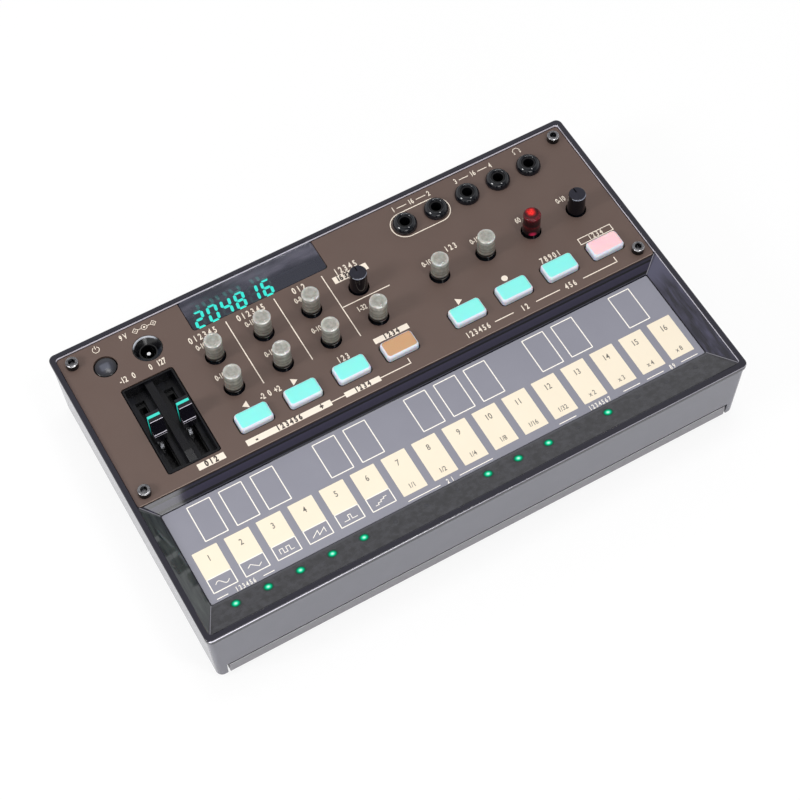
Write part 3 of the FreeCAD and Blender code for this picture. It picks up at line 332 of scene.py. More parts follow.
def moulded_cover():
    """Grey ABS from a spark-eroded mould: a slightly pebbled skin, with painted shade black in the seam and a
    painted highlight on the strips' upper edge.
    """
    material, tree = new_material("grey_moulded_abs")
    _, parts, facing = where(tree)
    strip = within(tree, calc(tree, "ABSOLUTE", parts["Y"]), *STRIP_OUT)
    # Painted shade: black on the strips' top faces, in the seam
    seam = product(tree, strip, within(tree, parts["Z"], STRIP_TOP - 0.03, STRIP_TOP - 0.01))
    # A painted highlight on the strips' upper edge
    edge = product(tree, strip, within(tree, parts["Z"], STRIP_TOP - 0.25, STRIP_TOP - 0.2),
                   (facing["Z"], 0.3, 0.4), (facing["Z"], 0.95, 0.9))
    cloud = speckle(tree, 9.0, 3.0)
    skin = blend(tree, edge, blend(tree, cloud, "838187", "89878D"), "B5B3B8")
    return finish(material, {
        "Base Color": blend(tree, seam, skin, "08080A"), "IOR": 1.53,
        "Roughness": between(tree, cloud, 0, 1, 0.38, 0.46), "Normal": grain(tree, 0.35, 0.004)})


def well_abs():
    """Black ABS, with painted light on the slider well's upward floor: a little lighter, in streaks."""
    material, tree = new_material("black_well_abs")
    _, parts, facing = where(tree)
    # Painted light: the well's upward floor a little lighter
    floor = product(tree, (facing["Z"], 0.8, 0.9),
                    band(tree, parts["Z"], SLIDER_FLOOR - 0.1, SLIDER_FLOOR + 0.1, 0.1))
    streak = between(tree, speckle(tree, 1.6, 2.0, (1, 0.2, 1)), 0.4, 0.65)
    return finish(material, {
        "Base Color": blend(tree, floor, blend(tree, streak, "08080C", "101015"),
                            blend(tree, streak, "0B0B0F", "1C1D23")),
        "IOR": 1.53, "Specular IOR Level": 0.25, "Roughness": between(tree, streak, 0, 1, 0.3, 0.22),
        "Normal": grain(tree, 0.4, 0.001)})


def knob_black():
    """Satin black ABS of the capped knobs: a crown painted bluish grey as a painted reflection, over a darker
    side, with painted highlights on its front edge.
    """
    material, tree = new_material("satin_black_abs")
    _, parts, facing = where(tree)
    # Painted reflection: the crown lighter and bluish
    crown = product(tree, (facing["Z"], 0.75, 0.95),
                    within(tree, parts["Z"], PANEL_TOP + 8.0, PANEL_TOP + 8.5))
    cloud = speckle(tree, 1.2, 2.0)
    tone = blend(tree, crown, blend(tree, cloud, "030308", "080810"), blend(tree, cloud, "1C1C25", "282833"))
    # Painted highlights on the crown's front edge
    return finish(material, {
        "Base Color": blend(tree, painted_highlight_edge(tree, facing), tone, blend(tree, cloud, "5C6070", "A4A8B6")),
        "IOR": 1.5, "Specular IOR Level": 0.32, "Roughness": between(tree, cloud, 0, 1, 0.06, 0.1),
        "Normal": grain(tree, 0.4, 0.001)})


def slider_smoke(side):
    """Smoked acrylic of a slider cap, polished, with painted highlights, also glowing, on its crown's front
    edge and its lips.
    """
    material, tree = new_material(side + "_smoked_acrylic")
    _, parts, _ = where(tree)
    low, high = box_mm(side + "_slider_cap")
    # Painted highlights, also glowing, on the crown's front edge and the two lips
    front = band(tree, parts["Y"], low[1] - 0.1, (low[1] + high[1]) / 2 - 1.7, 0.02)
    pale = 0.0
    for under, over in ((0.15, 0.04), (CAP_LIPS[0] + 0.12, CAP_LIPS[0] - 0.02),
                        (CAP_LIPS[1] - 0.05, CAP_LIPS[1] - 0.2)):
        pale = calc(tree, "MAXIMUM", pale, band(tree, parts["Z"], high[2] - under, high[2] - over, 0.02))
    tone = blend(tree, speckle(tree, 14.0, 3.0), "15141B", "100F15")
    return painted_edge_light(material, product(tree, front, pale), tone, "C9C5D0", 0.35, 1.49, (0.06, 0.12))


def socket_heads():
    """Black nickel on the panel's screw heads: a bright cloudy ring round a six-sided socket whose wall
    is painted black as shade, with a painted reflection on its paler floor, a painted highlight on the
    front edge and painted shade on the side."""
    material, tree = new_material("nickel_socket_heads")
    place, _, facing = where(tree)
    low, high = box_mm("panel_screws")
    moved = vector(tree, "SUBTRACT", place, (0, (low[1] + high[1]) / 2 * MM, 0))
    out = reach(tree, vector(tree, "ABSOLUTE", moved),
                (high[0] - SCREW_HEAD_RADIUS, (high[1] - low[1]) / 2 - SCREW_HEAD_RADIUS))
    share = calc(tree, "DIVIDE", out, SCREW_HEAD_RADIUS * MM)
    # The head's tones outwards from the middle: painted reflection on the socket's floor, painted shade black
    # in its wall, then the bright ring
    bright, dull = [ramp(tree, share, list(zip((0.0, 0.4, 0.44, 0.52, 0.58, 1.0), codes))) for codes in
                    (("9A999D", "8A898D", "0A0A0C", "0A0A0C", "A9A8AA", "9A999C"),
                     ("77767A", "6A696D", "060608", "060608", "66656A", "5C5B60"))]
    cloud = between(tree, speckle(tree, 0.5, 2.0), 0.35, 0.65)
    # A painted highlight on the front edge
    lit = product(tree, (facing["Y"], -0.25, -0.5), (facing["Z"], 0.2, 0.35), cloud)
    tone = blend(tree, lit, blend(tree, cloud, dull, bright), "FAFAFA")
    return finish(material, {
        # Painted shade on the upright side
        "Base Color": blend(tree, between(tree, facing["Z"], 0.25, 0.1), tone, "3C3D40"),
        "Metallic": 1.0, "Roughness": between(tree, cloud, 0, 1, 0.26, 0.16)})


def power_cap():
    """Polished smoked cap of the power button, with painted shade round its rim and a paler painted glint
    across its dome."""
    material, tree = new_material("polished_smoked_cap")
    place = where(tree)[0]
    x, y = centre_mm("power_button")
    # A painted glint across the dome, and painted shade darkening towards the rim
    glint = rounded_mask(tree, place, (x - 0.2, y - 0.1), (1.55, 1.2), 0.5, 0.35)
    tone = ramp(tree, within(tree, reach(tree, place, (x, y)), 0.0, 4.0),
                [(0.0, "32333C"), (0.55, "2C2D36"), (0.8, "1A1A20"), (1.0, "0C0C10")])
    cloud = speckle(tree, 1.6, 2.0)
    return finish(material, {
        "Base Color": blend(tree, glint, tone, blend(tree, cloud, "484A54", "5C5F6B")),
        "IOR": 1.5, "Roughness": between(tree, cloud, 0, 1, 0.2, 0.28)})


def inlet_abs():
    """Black moulded inlet, with painted light: its funnel painted lighter in front, a painted highlight on
    its outer edge behind, and a painted glint on the pin's tip."""
    material, tree = new_material("black_inlet_abs")
    place, parts, facing = where(tree)
    x, y = centre_mm("dc_socket")
    top = box_mm("dc_socket")[1][2]
    out = reach(tree, place, (x, y))
    # Painted light on the funnel's front, a painted highlight crescent behind, a painted glint on the pin
    funnel = product(tree, (facing["Y"], 0.15, 0.45),
                     band(tree, parts["Z"], top - 2.2, top - 0.05, 0.1))
    crescent = product(tree, within(tree, out, 4.25, 4.4), (facing["Z"], 0.2, 0.3),
                       within(tree, parts["Y"], y + 1.6, y + 3.2))
    pin = product(tree, within(tree, out, 0.75, 0.6), (facing["Z"], 0.8, 0.9))
    cloud = speckle(tree, 1.6, 2.0)
    tone = blend(tree, funnel, blend(tree, cloud, "060608", "0C0C10"), blend(tree, cloud, "22252D", "343842"))
    tone = blend(tree, crescent, tone, "B9BCC4")
    return finish(material, {"Base Color": blend(tree, pin, tone, "E8E8EA"), "IOR": 1.53,
                             "Roughness": between(tree, cloud, 0, 1, 0.14, 0.2)})


def smoked_pane():
    """Smoked acrylic pane, polished: dark and clear, so the lit figures behind it show, with a painted
    reflection on its top: a faint bluish glow in soft streaks."""
    material, tree = new_material("smoked_acrylic_pane")
    _, parts, _ = where(tree)
    streak = between(tree, speckle(tree, 3.4, 3.0, (0.3, 1, 1), math.radians(4)), 0.36, 0.66)
    back = box_mm("display_window")[1][1]
    # Painted reflection on the pane's top, as a faint glow, lighter in streaks towards the back
    level = product(tree, streak, within(tree, parts["Y"], back - 7.5, back - 4.5))
    top = within(tree, parts["Z"], PANEL_TOP - 0.4, PANEL_TOP - 0.2)
    return finish(material, {
        "Base Color": paint("0A0A0E"), "Alpha": product(tree, top, 0.55), "IOR": 1.5,
        "Emission Color": blend(tree, top, "000000", blend(tree, level, "2A2B33", "474650")),
        "Emission Strength": 2.8, "Roughness": between(tree, level, 0, 1, 0.03, 0.08)})


# Tones up a knob's side by height and across its crown. For the clear knobs they are painted light and shade,
# for what the knobs bend and pass; the red ones colour the tempo knob's glow.
KNOB_TONES = [(0.0, "0B0C0D"), (0.12, "0E1011"), (0.2, "2A2D2C"), (0.24, "17191A"), (0.28, "8E8D84"),
              (0.34, "ABA9A0"), (0.4, "827F76"), (0.44, "A19E95"), (0.55, "8F8D85"), (0.6, "A9A79E"),
              (0.76, "9A988F"), (0.81, "B9B8B0"), (0.95, "C2C1BA")]
CROWN_TONES = [(0.0, "B2B1AA"), (0.6, "ADACA4"), (0.82, "C6C5BE"), (1.0, "E2E1DC")]
RED_TONES = [(0.0, "050203"), (0.26, "0C0307"), (0.3, "180408"), (0.44, "2C060B"), (0.52, "40080E"),
             (0.6, "120307"), (0.85, "280509"), (0.95, "5A0A12")]
RED_CROWN = [(0.0, "F8332C"), (0.3, "D8201F"), (0.46, "7A1014"), (0.7, "2A060A"), (1.0, "5A1018")]


def knob_tone(tree, node, side_stops, crown_stops, back=0.0):
    """A knob's colour: up its side by height, and across its crown outwards from near its middle."""
    place, parts, _ = where(tree)
    high = box_mm(node)[1][2]
    x, y = centre_mm(node)
    up = within(tree, parts["Z"], PANEL_TOP, PANEL_TOP + 10)
    out = within(tree, reach(tree, place, (x, y + back)), 0.0, 3.0)
    crown = within(tree, parts["Z"], high - 0.5, high - 0.25)
    return blend(tree, crown, ramp(tree, up, side_stops), ramp(tree, out, crown_stops))


def clear_polystyrene(node):
    """A clear moulded knob with a hard gloss, its light and shade painted: pale and cloudy above, with
    faint rings, dark at its foot for the bush seen through it; painted glints at the foot's front and on the
    crown's front edge."""
    material, tree = new_material("clear_polystyrene_" + node)
    _, parts, facing = where(tree)
    # A painted glint at the front of the foot
    foot = product(tree, (facing["Y"], -0.9, -0.98),
                   band(tree, parts["Z"], PANEL_TOP + 1.1, PANEL_TOP + 1.5, 0.15))
    tone = blend(tree, foot, knob_tone(tree, node, KNOB_TONES, CROWN_TONES), "B4B6B4")
    # Painted highlights on the crown's front edge
    glints = product(tree, painted_highlight_edge(tree, facing), between(tree, speckle(tree, 1.6, 1.0), 0.4, 0.55))
    mottled = mottle(tree, tone, 1.1, 3.0, 0.76, 1.1)
    return finish(material, {
        "Base Color": blend(tree, glints, mottled, "FFFFFC"), "Roughness": 0.08, "IOR": 1.58,
        "Transmission Weight": 0.2, "Subsurface Weight": 0.15, "Subsurface Scale": 0.001,
        "Normal": grain(tree, 0.9, 0.03)})


def red_lit_polystyrene():
    """The clear tempo knob over a red lamp: the crown glows behind, the side stays dark, and a red glint is
    painted at the foot."""
    material, tree = new_material("red_lit_polystyrene")
    tone = knob_tone(tree, "tempo_knob", RED_TONES, RED_CROWN, 0.9)
    x, y = centre_mm("tempo_knob")
    # A painted red glint at the foot's front
    painted_red_glint = within(tree, reach(tree, where(tree)[0], (x - 1.1, y - 2.7, PANEL_TOP + 1.9), (1, 1, 1)), 1.5, 0.5)
    mottled = mottle(tree, tone, 0.7, 2.0, 0.4, 1.3)
    return finish(material, {
        "Base Color": mottled, "Roughness": 0.1, "IOR": 1.55, "Specular IOR Level": 0.28,
        "Emission Color": blend(tree, painted_red_glint, mottled, "D82A58"), "Emission Strength": 0.45,
        "Normal": grain(tree, 0.7, 0.02, 2.0)})


def silicone_button(node, top_code):
    """Milky silicone rubber with a printed top: the sides pass light and look pale blue, and are painted
    black as shade where they sink into the panel."""
    material, tree = new_material("silicone_" + node)
    place, parts, _ = where(tree)
    low, high = box_mm(node)
    half = ((high[0] - low[0]) / 2 - 1.3, (high[1] - low[1]) / 2 - 1.35)
    x, y = centre_mm(node)
    printed = product(tree, rounded_mask(tree, place, (x + 0.1, y + 0.15), half, 0.9, 0.12),
                      within(tree, parts["Z"], BUTTON_TOP - 0.75, BUTTON_TOP - 0.65))
    # Painted shade: black where the sides sink into the panel
    painted_sunk_shade = within(tree, parts["Z"], PANEL_TOP - 0.05, PANEL_TOP - 0.25)
    tone = blend(tree, printed, blend(tree, speckle(tree, 3.0, 2.0), "DAE2EF", "E4EAF5"), top_code)
    return finish(material, {
        "Base Color": blend(tree, painted_sunk_shade, tone, "060607"), "Roughness": 0.34, "IOR": 1.41,
        "Subsurface Weight": 0.3, "Subsurface Scale": 0.001, "Normal": grain(tree, 0.3, 0.004)})


def glowing(name, code, strength):
    """A segment, clear resin over a small lamp, glowing with a slight unevenness; the unlit ones get only a
    faint painted glow.
    """
    material, tree = new_material(name)
    return finish(material, {
        "Base Color": paint("0C2A22"), "Roughness": 0.25, "Emission Color": paint(code),
        "Emission Strength": between(tree, speckle(tree, 0.8, 1.0), 0, 1, strength * 0.94, strength * 1.06)})


def light_line():
    """The lit cyan plate in a slider cap: bright on top, fading down its side."""
    material, tree = new_material("cyan_light_line")
    level = within(tree, where(tree)[1]["Z"], LINE_FOOT, box_mm("left_slider_cap")[1][2])
    fade = [(0.0, "04110F"), (0.35, "0F6E66"), (0.6, "1FB8AA"), (0.97, "24C8B8"), (1.0, "40F0DC")]
    return finish(material, {
        "Base Color": paint("0A2E2B"), "Roughness": 0.2, "Emission Color": ramp(tree, level, fade),
        "Emission Strength": between(tree, speckle(tree, 0.8, 1.0), 0, 1, 0.8, 0.9)})


def step_glow(name, stops, most):
    """A step lamp's light through the smoked slope, a small core fading to nothing; on the unlit lamps, a
    faint painted glow.
    """
    material, tree = new_material(name)
    fall = add(tree, "Attribute", attribute_name="glow").outputs["Fac"]
    light = add(tree, "Emission", {"Color": ramp(tree, fall, stops)})
    return finish(material, {
        "Fac": between(tree, fall, 0, 0.3, 0, most), 1: add(tree, "BsdfTransparent").outputs["BSDF"],
        2: light.outputs["Emission"]}, "MixShader")


# Plain surfaces: name, light and dark colour, least and most roughness, the grain's size and depth,
# then further inputs and the clouds' size
INK_SKIN = ((0.45, 0.55), (0.2, 0.0005))
METAL = {"Metallic": 1.0}
FINISH = {key: surface(*row) for key, row in {
    # Silver-grey paint on ABS: smooth, with a soft sheen along the edges
    "case": ("silver_grey_paint", "6B6B76", "65656F", (0.14, 0.2), (0.3, 0.002), {"IOR": 1.5}),
    # Printed polyester film under a clear hard coat: cool grey with a faint gloss
    "film": ("coated_polyester_film", "8A8A96", "848490", (0.26, 0.32), (3.0, 0.001),
             {"IOR": 1.57, "Coat Weight": 0.25, "Coat Roughness": 0.12}),
    # Opaque matt inks: the keys, lines and figures on the panel, outlines on the film, dark figures
    # in the cream bars, thin grey figures on the keys
    "cream": ("cream_screen_ink", "F5E9D3", "F1E4CD", *INK_SKIN),
    "pale_ink": ("pale_screen_ink", "F5E9DA", "F1E4D3", *INK_SKIN),
    "line_ink": ("white_screen_ink", "FFFAF2", "FAF4EA", *INK_SKIN),
    "brown_ink": ("brown_screen_ink", "4B3F3A", "453A35", *INK_SKIN),
    "grey_ink": ("grey_screen_ink", "7A766F", "74706A", *INK_SKIN),
    # Black ABS with a light spark texture, in the switches
    "black": ("black_abs", "0B0B0E", "070709", (0.2, 0.3), (0.4, 0.001),
              {"IOR": 1.53, "Specular IOR Level": 0.3}),
    # The matt black face of the digit block, which kills reflections around the figures
    "face": ("matt_black_face", "08080A", "060607", (0.5, 0.6), (0.4, 0.002),
             {"Specular IOR Level": 0.1}),
    # Polished black nylon nuts: small bright reflections on a dark dome
    "collar": ("polished_black_nylon", "0D1018", "080A10", (0.06, 0.1), (3.0, 0.001), {"IOR": 1.5}),
    # Black nickel plate on steel: dark metal with a worn, cloudy shine
    "screw": ("black_nickel_plate", "5E5C5B", "3A3837", (0.12, 0.26), (0.5, 0.002), METAL, 1.2),
    # Plated steel of the slide controls' levers, dark, with small bright spots as painted glints
    "lever": ("plated_steel_painted_glints", "B4B5B8", "1E1E20", (0.2, 0.3), (0.3, 0.002), METAL, 0.45),
    # Zinc-plated sheet of the contacts and the speaker: pale, slightly blue, cloudy
    "zinc": ("zinc_plated_steel", "B9BCC0", "A4A7AC", (0.3, 0.42), (0.5, 0.002), METAL, 2.0),
    # Turned aluminium: bright, with fine rings too small to count
    "shaft": ("turned_aluminium", "C6C7CA", "B4B6BA", (0.22, 0.32), (0.2, 0.002), METAL, 2.0),
    # Glass-epoxy board under green solder mask: glossy, with a faint weave of the cloth
    "board": ("green_solder_mask", "155C36", "0F4A2B", (0.25, 0.35), (0.6, 0.004), {"IOR": 1.5}, 2.0),
    # Moulded silicone rubber: dull black, a little dusty
    "rubber": ("moulded_rubber", "2A2A2B", "202021", (0.7, 0.85), (0.3, 0.01)),
    # Shrink-wrapped cells: plain glossy film over a steel can
    "cell": ("cell_shrink_wrap", "3B4046", "343A40", (0.25, 0.35), (3.0, 0.004), {"IOR": 1.5}),
    # Pressed paper pulp: dark, fibrous and dull
    "cone": ("pressed_paper_cone", "2B2A29", "1F1E1E", (0.8, 0.95), (0.25, 0.03), None, 0.8),
    # Frosted clear resin of the step lamps' lenses
    "lens": ("clear_lamp_resin", "C9D8D0", "B4C6BC", (0.2, 0.3), (0.25, 0.002),
             {"IOR": 1.5, "Transmission Weight": 0.5}),
}.items()}
LIT_STOPS = [(0.0, "00402C"), (0.25, "008A60"), (0.5, "10D69C"), (0.72, "90FFD8"), (1.0, "F4FFFA")]
# Grey for the unlit lamps' spots, a faint painted glow
UNLIT_STOPS = [(0.0, "4A4A50"), (1.0, "6A6A70")]
FINISH.update({
    "smoke": smoked_polycarbonate(), "panel": painted_panel(), "cover": moulded_cover(),
    "knob_black": knob_black(), "pane": smoked_pane(), "well": well_abs(), "head": socket_heads(),
    "red": red_lit_polystyrene(), "power": power_cap(), "inlet": inlet_abs(), "line": light_line(),
    "left_smoke": slider_smoke("left"), "right_smoke": slider_smoke("right"),
    # The unlit bars get a faint painted glow
    "segment": glowing("cyan_segment", "08ECD8", 2.1), "ghost": glowing("unlit_segment", "0E5450", 0.3),
    "step": step_glow("step_lamp_glow", LIT_STOPS, 1.0),
    "unlit": step_glow("unlit_lamp_spot", UNLIT_STOPS, 0.35),
})
FINISHED_NODES = {
    "smoke": "top_frame", "panel": "top_panel", "pane": "display_window", "face": "display_module",
    "head": "panel_screws", "film": "touch_sheet", "lens": "step_leds", "red": "tempo_knob",
    "board": "touch_board control_board main_board", "screw": "board_screws bottom_screws",
    "black": "board_connector main_chips button_switches power_switch slide_pots jack_sockets",
    "collar": "pot_bodies jack_collars", "power": "power_button", "well": "slider_well",
    "left_smoke": "left_slider_cap", "right_smoke": "right_slider_cap", "inlet": "dc_socket",
    "lever": "left_slider_lever right_slider_lever", "case": "main_housing",
    "cover": "bottom_cover battery_door", "rubber": "rubber_feet", "cell": "battery_cells",
    "zinc": "cell_contacts speaker_frame", "cone": "speaker_cone",
    "knob_black": "program_knob volume_knob", "shaft": "program_shaft volume_shaft",
}
CLEAR_KNOBS = ("mod_attack mod_decay carrier_attack carrier_decay lfo_rate lfo_depth algorithm "
               "arp_type arp_div")
BUTTON_TOPS = {"87ECE4": "octave_down octave_up save play record memory", "C79B73": "edit",
               "F9CAD0": "function"}


def dress(item, material):
    """Gives an object its one finish."""
    item.data.materials.clear()
    item.data.materials.append(material)


def dress_all():
    """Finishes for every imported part."""
    for key, nodes in FINISHED_NODES.items():
        for node in nodes.split():
            dress(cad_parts[node], FINISH[key])
    for name in CLEAR_KNOBS.split():
        dress(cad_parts[name + "_knob"], clear_polystyrene(name + "_knob"))
    for code, names in BUTTON_TOPS.items():
        for name in names.split():
            dress(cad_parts[name + "_button"], silicone_button(name + "_button", code))


# Printing: thin films of ink, made flat and given a thickness
def choose(*items):
    """Selects these objects alone and makes the first one active."""
    bpy.ops.object.select_all(action="DESELECT")
    for item in items:
        item.select_set(True)
    bpy.context.view_layer.objects.active = items[0]


def settle(item):
    """Puts an object's place, turn and size into its mesh."""
    choose(item)
    bpy.ops.object.transform_apply(location=True, rotation=True, scale=True)
    return item


def plate(x, y, size, level=0.0, turn=(0, 0, 0)):
    """A flat rectangle."""
    bpy.ops.mesh.primitive_plane_add(size=1, location=(x * MM, y * MM, level * MM), rotation=turn)
    item = bpy.context.object
    item.scale = (size[0] * MM, size[1] * MM, 1)
    return settle(item)


def disc(x, y, radius, corners, level=0.0, turn=(0, 0, 0), scale=(1, 1, 1)):
    """A flat filled polygon."""
    bpy.ops.mesh.primitive_circle_add(vertices=corners, radius=radius * MM, fill_type="NGON",
                                      location=(x * MM, y * MM, level * MM), rotation=turn)
    item = bpy.context.object
    item.scale = scale
    return settle(item)


def edited(item, *steps):
    """Works on the active object's mesh, all of it selected; each step is a tool and its settings."""
    bpy.ops.object.mode_set(mode="EDIT")
    bpy.ops.mesh.select_all(action="SELECT")
    for tool, settings in steps:
        getattr(bpy.ops.mesh, tool)(**settings)
    bpy.ops.object.mode_set(mode="OBJECT")
    return item


def outlined(item, line):
    """Leaves only a line round a flat shape's edge."""
    return edited(item, ("inset", {"thickness": line * MM}), ("delete", {"type": "FACE"}))


def bar(start, end, width, level=0.0):
    """A straight printed line between two places."""
    turn = math.atan2(end[1] - start[1], end[0] - start[0])
    return plate((start[0] + end[0]) / 2, (start[1] + end[1]) / 2, (math.dist(start, end), width),
                 level, (0, 0, turn))


def patch(x0, x1, y0, y1, radius=0.0, line=0.0):
    """A printed rectangle with round corners: filled, or an outline when a line width is given."""
    item = plate((x0 + x1) / 2, (y0 + y1) / 2, (x1 - x0, y1 - y0))
    if radius:
        edited(item, ("bevel", {"offset": radius * MM, "segments": 10 if radius > 2 else 4,
                                "affect": "VERTICES"}))
    return outlined(item, line) if line else item


def ring(x, y, radius, line, gap=0.0, side=1):
    """A printed ring; a gap of a half width opens it at the back, or at the front for side -1."""
    item = outlined(disc(x, y, radius, 40), line)
    if gap:
        for face in item.data.polygons:
            face.select = abs(face.center.x / MM - x) < gap and (face.center.y / MM - y) * side > 0
        bpy.ops.object.mode_set(mode="EDIT")
        bpy.ops.mesh.select_mode(type="FACE")
        bpy.ops.mesh.delete(type="FACE")
        bpy.ops.object.mode_set(mode="OBJECT")
    return item


def diamond(x, y, radius, line):
    """A printed square ring standing on its corner."""
    return outlined(disc(x, y, radius, 4), line)


def arrow(x, y, way):
    """A printed triangle that points along X."""
    return disc(x, y, 1.0, 3, 0.0, (0, 0, -way * math.pi / 2), (1.6, 1.36, 1))


def dot(x, y, radius):
    """A printed filled disc."""
    return edited(disc(x, y, radius, 32), ("inset", {"thickness": radius * MM * 0.1}))


LETTER_RATIO = 0.73


def figure(text, x, y, height, width=0.66, weight=0.045):
    """Printed plain figures, centred on a place; width narrows them like the real ones."""
    bpy.ops.object.text_add(location=(x * MM, y * MM, 0))
    item = bpy.context.object
    item.data.body = text
    item.data.size = height * MM / LETTER_RATIO
    item.data.offset = weight * height * MM
    item.data.align_x = item.data.align_y = "CENTER"
    item.data.resolution_u = 3
    choose(item)
    bpy.ops.object.convert(target="MESH")
    item = bpy.context.object
    item.scale = (width, 1, 1)
    return settle(item)


def join(pieces, name):
    """Joins pieces into one object."""
    choose(*pieces)
    bpy.ops.object.join()
    bpy.context.object.name = name
    return bpy.context.object


def thicken(depth):
    """Gives the active flat piece a thickness, outwards."""
    item = bpy.context.object
    thick = item.modifiers.new("thick", "SOLIDIFY")
    thick.thickness = depth * MM
    thick.offset = 1.0
    bpy.ops.object.modifier_apply(modifier="thick")


def film(name, pieces, key, level, body="case"):
    """Joins flat pieces into one film at a level, with a thickness and a finish."""
    item = join(pieces, name)
    for vertex in item.data.vertices:
        vertex.co.z += level * MM
    thicken(INK)
    dress(item, FINISH[key])
    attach(item, body)


# What the panel carries, in millimetres; rules and links as x and y of both ends
RULE, FINE_RULE = 0.34, 0.3
PANEL_RULES = [(x, 14.6, x, 41.5) for x in (-40.25, -22.6, -4.95)] + [
    (-4.95, 27.15, 12.8, 27.15), (-25.0, -2.35, -20.0, -2.35), (-7.2, -2.35, 4.15, -2.35),
    (4.0, -2.35, 4.0, -0.2), (68.9, -2.45, 82.2, -2.45), (82.05, -2.45, 82.05, -0.3),
    (50.85, -2.45, 59.95, -2.45), (35.3, -2.45, 42.3, -2.45)]
PANEL_ARROWS = [(-48.85, 10.35, -1), (-31.75, 10.45, 1), (29.0, 10.4, 1)]
PANEL_BARS = [(-2.3, 10.3, 9.4, 11.5), (-20.0, -7.2, -3.35, -1.35), (-55.1, -25.0, -3.45, -1.2),
              (-72.2, -62.8, -3.55, -1.15), (-2.4, 10.15, 36.3, 39.0)]
PANEL_LINKS = [(29.9, 52.8, 33.6, 52.8), (37.3, 52.8, 41.0, 52.8), (53.9, 52.5, 57.5, 52.5),
               (61.1, 52.5, 64.8, 52.5)]
# Plain figures where the object carries words: (figures, x, y, height)
PANEL_FIGURES = [
    ("0 1 2 3 4 5", -49.1, 40.4, 2.5), ("0 1 2 3 4 5", -31.6, 40.4, 2.5), ("0 1 2", -13.75, 40.7, 2.5),
    ("1 2 3 4 5", 3.5, 40.35, 2.5), ("0-10", -51.4, 36.9, 2.1), ("0-10", -33.6, 36.9, 2.1),
    ("0-8", -15.95, 36.9, 2.1), ("0-10", -51.2, 23.7, 2.1), ("0-10", -33.4, 23.6, 2.1),
    ("0-10", -16.1, 23.9, 2.1), ("1-32", 0.6, 23.8, 2.1), ("-2  0  +2", -40.1, 10.4, 2.3),
    ("1 2 3", -13.85, 10.1, 2.3), ("-12   0", -77.2, 38.0, 2.3), ("0   127", -66.5, 38.1, 2.3),
    ("9 V", -71.7, 52.8, 2.1), ("1 2 3", 37.6, 30.0, 2.3), ("0-10", 27.6, 28.4, 2.1),
    ("0-10", 45.9, 28.3, 2.1), ("60", 62.4, 28.1, 2.1), ("0-10", 79.2, 28.1, 2.1),
    ("7 8 9 0 1", 64.0, 10.1, 2.3), ("4 5 6", 64.05, -2.55, 2.2), ("1 2", 46.6, -2.6, 2.2),
    ("1 2 3 4 5 6", 28.85, -2.65, 2.2), ("1 2 3 4", 81.75, 10.35, 2.1), ("1", 28.6, 52.8, 2.1),
    ("16", 35.4, 52.8, 2.1), ("2", 42.2, 52.8, 2.1), ("3", 52.6, 52.5, 2.1), ("16", 59.3, 52.5, 2.1),
    ("4", 66.1, 52.5, 2.1),
]
BAR_FIGURES = [("1 2 3 4", 4.0, 10.45, 1.75), ("1 2 3 4", -13.6, -2.35, 1.75),
               ("1 2 3 4 5 6", -40.0, -2.3, 1.8), ("-", -51.6, -2.3, 2.0), ("+", -28.4, -2.3, 2.0),
               ("0 1 2", -67.5, -2.35, 1.9), ("16 32", 1.2, 37.65, 1.9)]
SIGN_LINE = 0.18
SIGN_Y = 52.95


def signs():
    """Common signs: on-off, headphones and inlet polarity."""
    shapes = [ring(-81.4, 52.85, 1.25, 0.22, 0.5), bar((-81.4, 53.0), (-81.4, 54.4), 0.22),
              ring(76.95, 53.2, 1.35, 0.2, 1.0, -1)]
    shapes += [bar((x, 53.0), (x, 52.1), 0.45) for x in (75.85, 78.05)]
    shapes += [ring(-64.1, SIGN_Y, 1.05, SIGN_LINE), dot(-64.1, SIGN_Y, 0.36)]
    for x in (-67.3, -60.9):
        shapes.append(diamond(x, SIGN_Y, 1.15, SIGN_LINE))
        shapes.append(bar((x - 0.36, SIGN_Y), (x + 0.36, SIGN_Y), SIGN_LINE))
    shapes.append(bar((-60.9, SIGN_Y - 0.36), (-60.9, SIGN_Y + 0.36), SIGN_LINE))
    return shapes + [bar((x0, SIGN_Y), (x1, SIGN_Y), SIGN_LINE)
                     for x0, x1 in ((-66.1, -65.2), (-63.0, -62.1))]


def print_panel():
    """Everything printed on the panel."""
    shapes = [bar(ends[:2], ends[2:], RULE) for ends in PANEL_RULES]
    shapes += [patch(75.35, 88.1, 9.0, 11.7, 0.0, FINE_RULE), patch(24.0, 46.0, 40.5, 50.8, 5.1, RULE)]
    shapes += [arrow(*place) for place in PANEL_ARROWS]
    shapes += [dot(46.65, 10.5, 1.1)] + signs()
    shapes += [patch(*place, 0.15) for place in PANEL_BARS]
    shapes += [bar(ends[:2], ends[2:], FINE_RULE) for ends in PANEL_LINKS]
    shapes += [figure(*row) for row in PANEL_FIGURES]
    film("panel_printing", shapes, "pale_ink", PANEL_TOP)
    shapes = [figure(text, x, y, height + 0.15, 0.76, 0.075) for text, x, y, height in BAR_FIGURES]
    film("bar_figures", shapes, "brown_ink", PANEL_TOP + INK + 0.01)


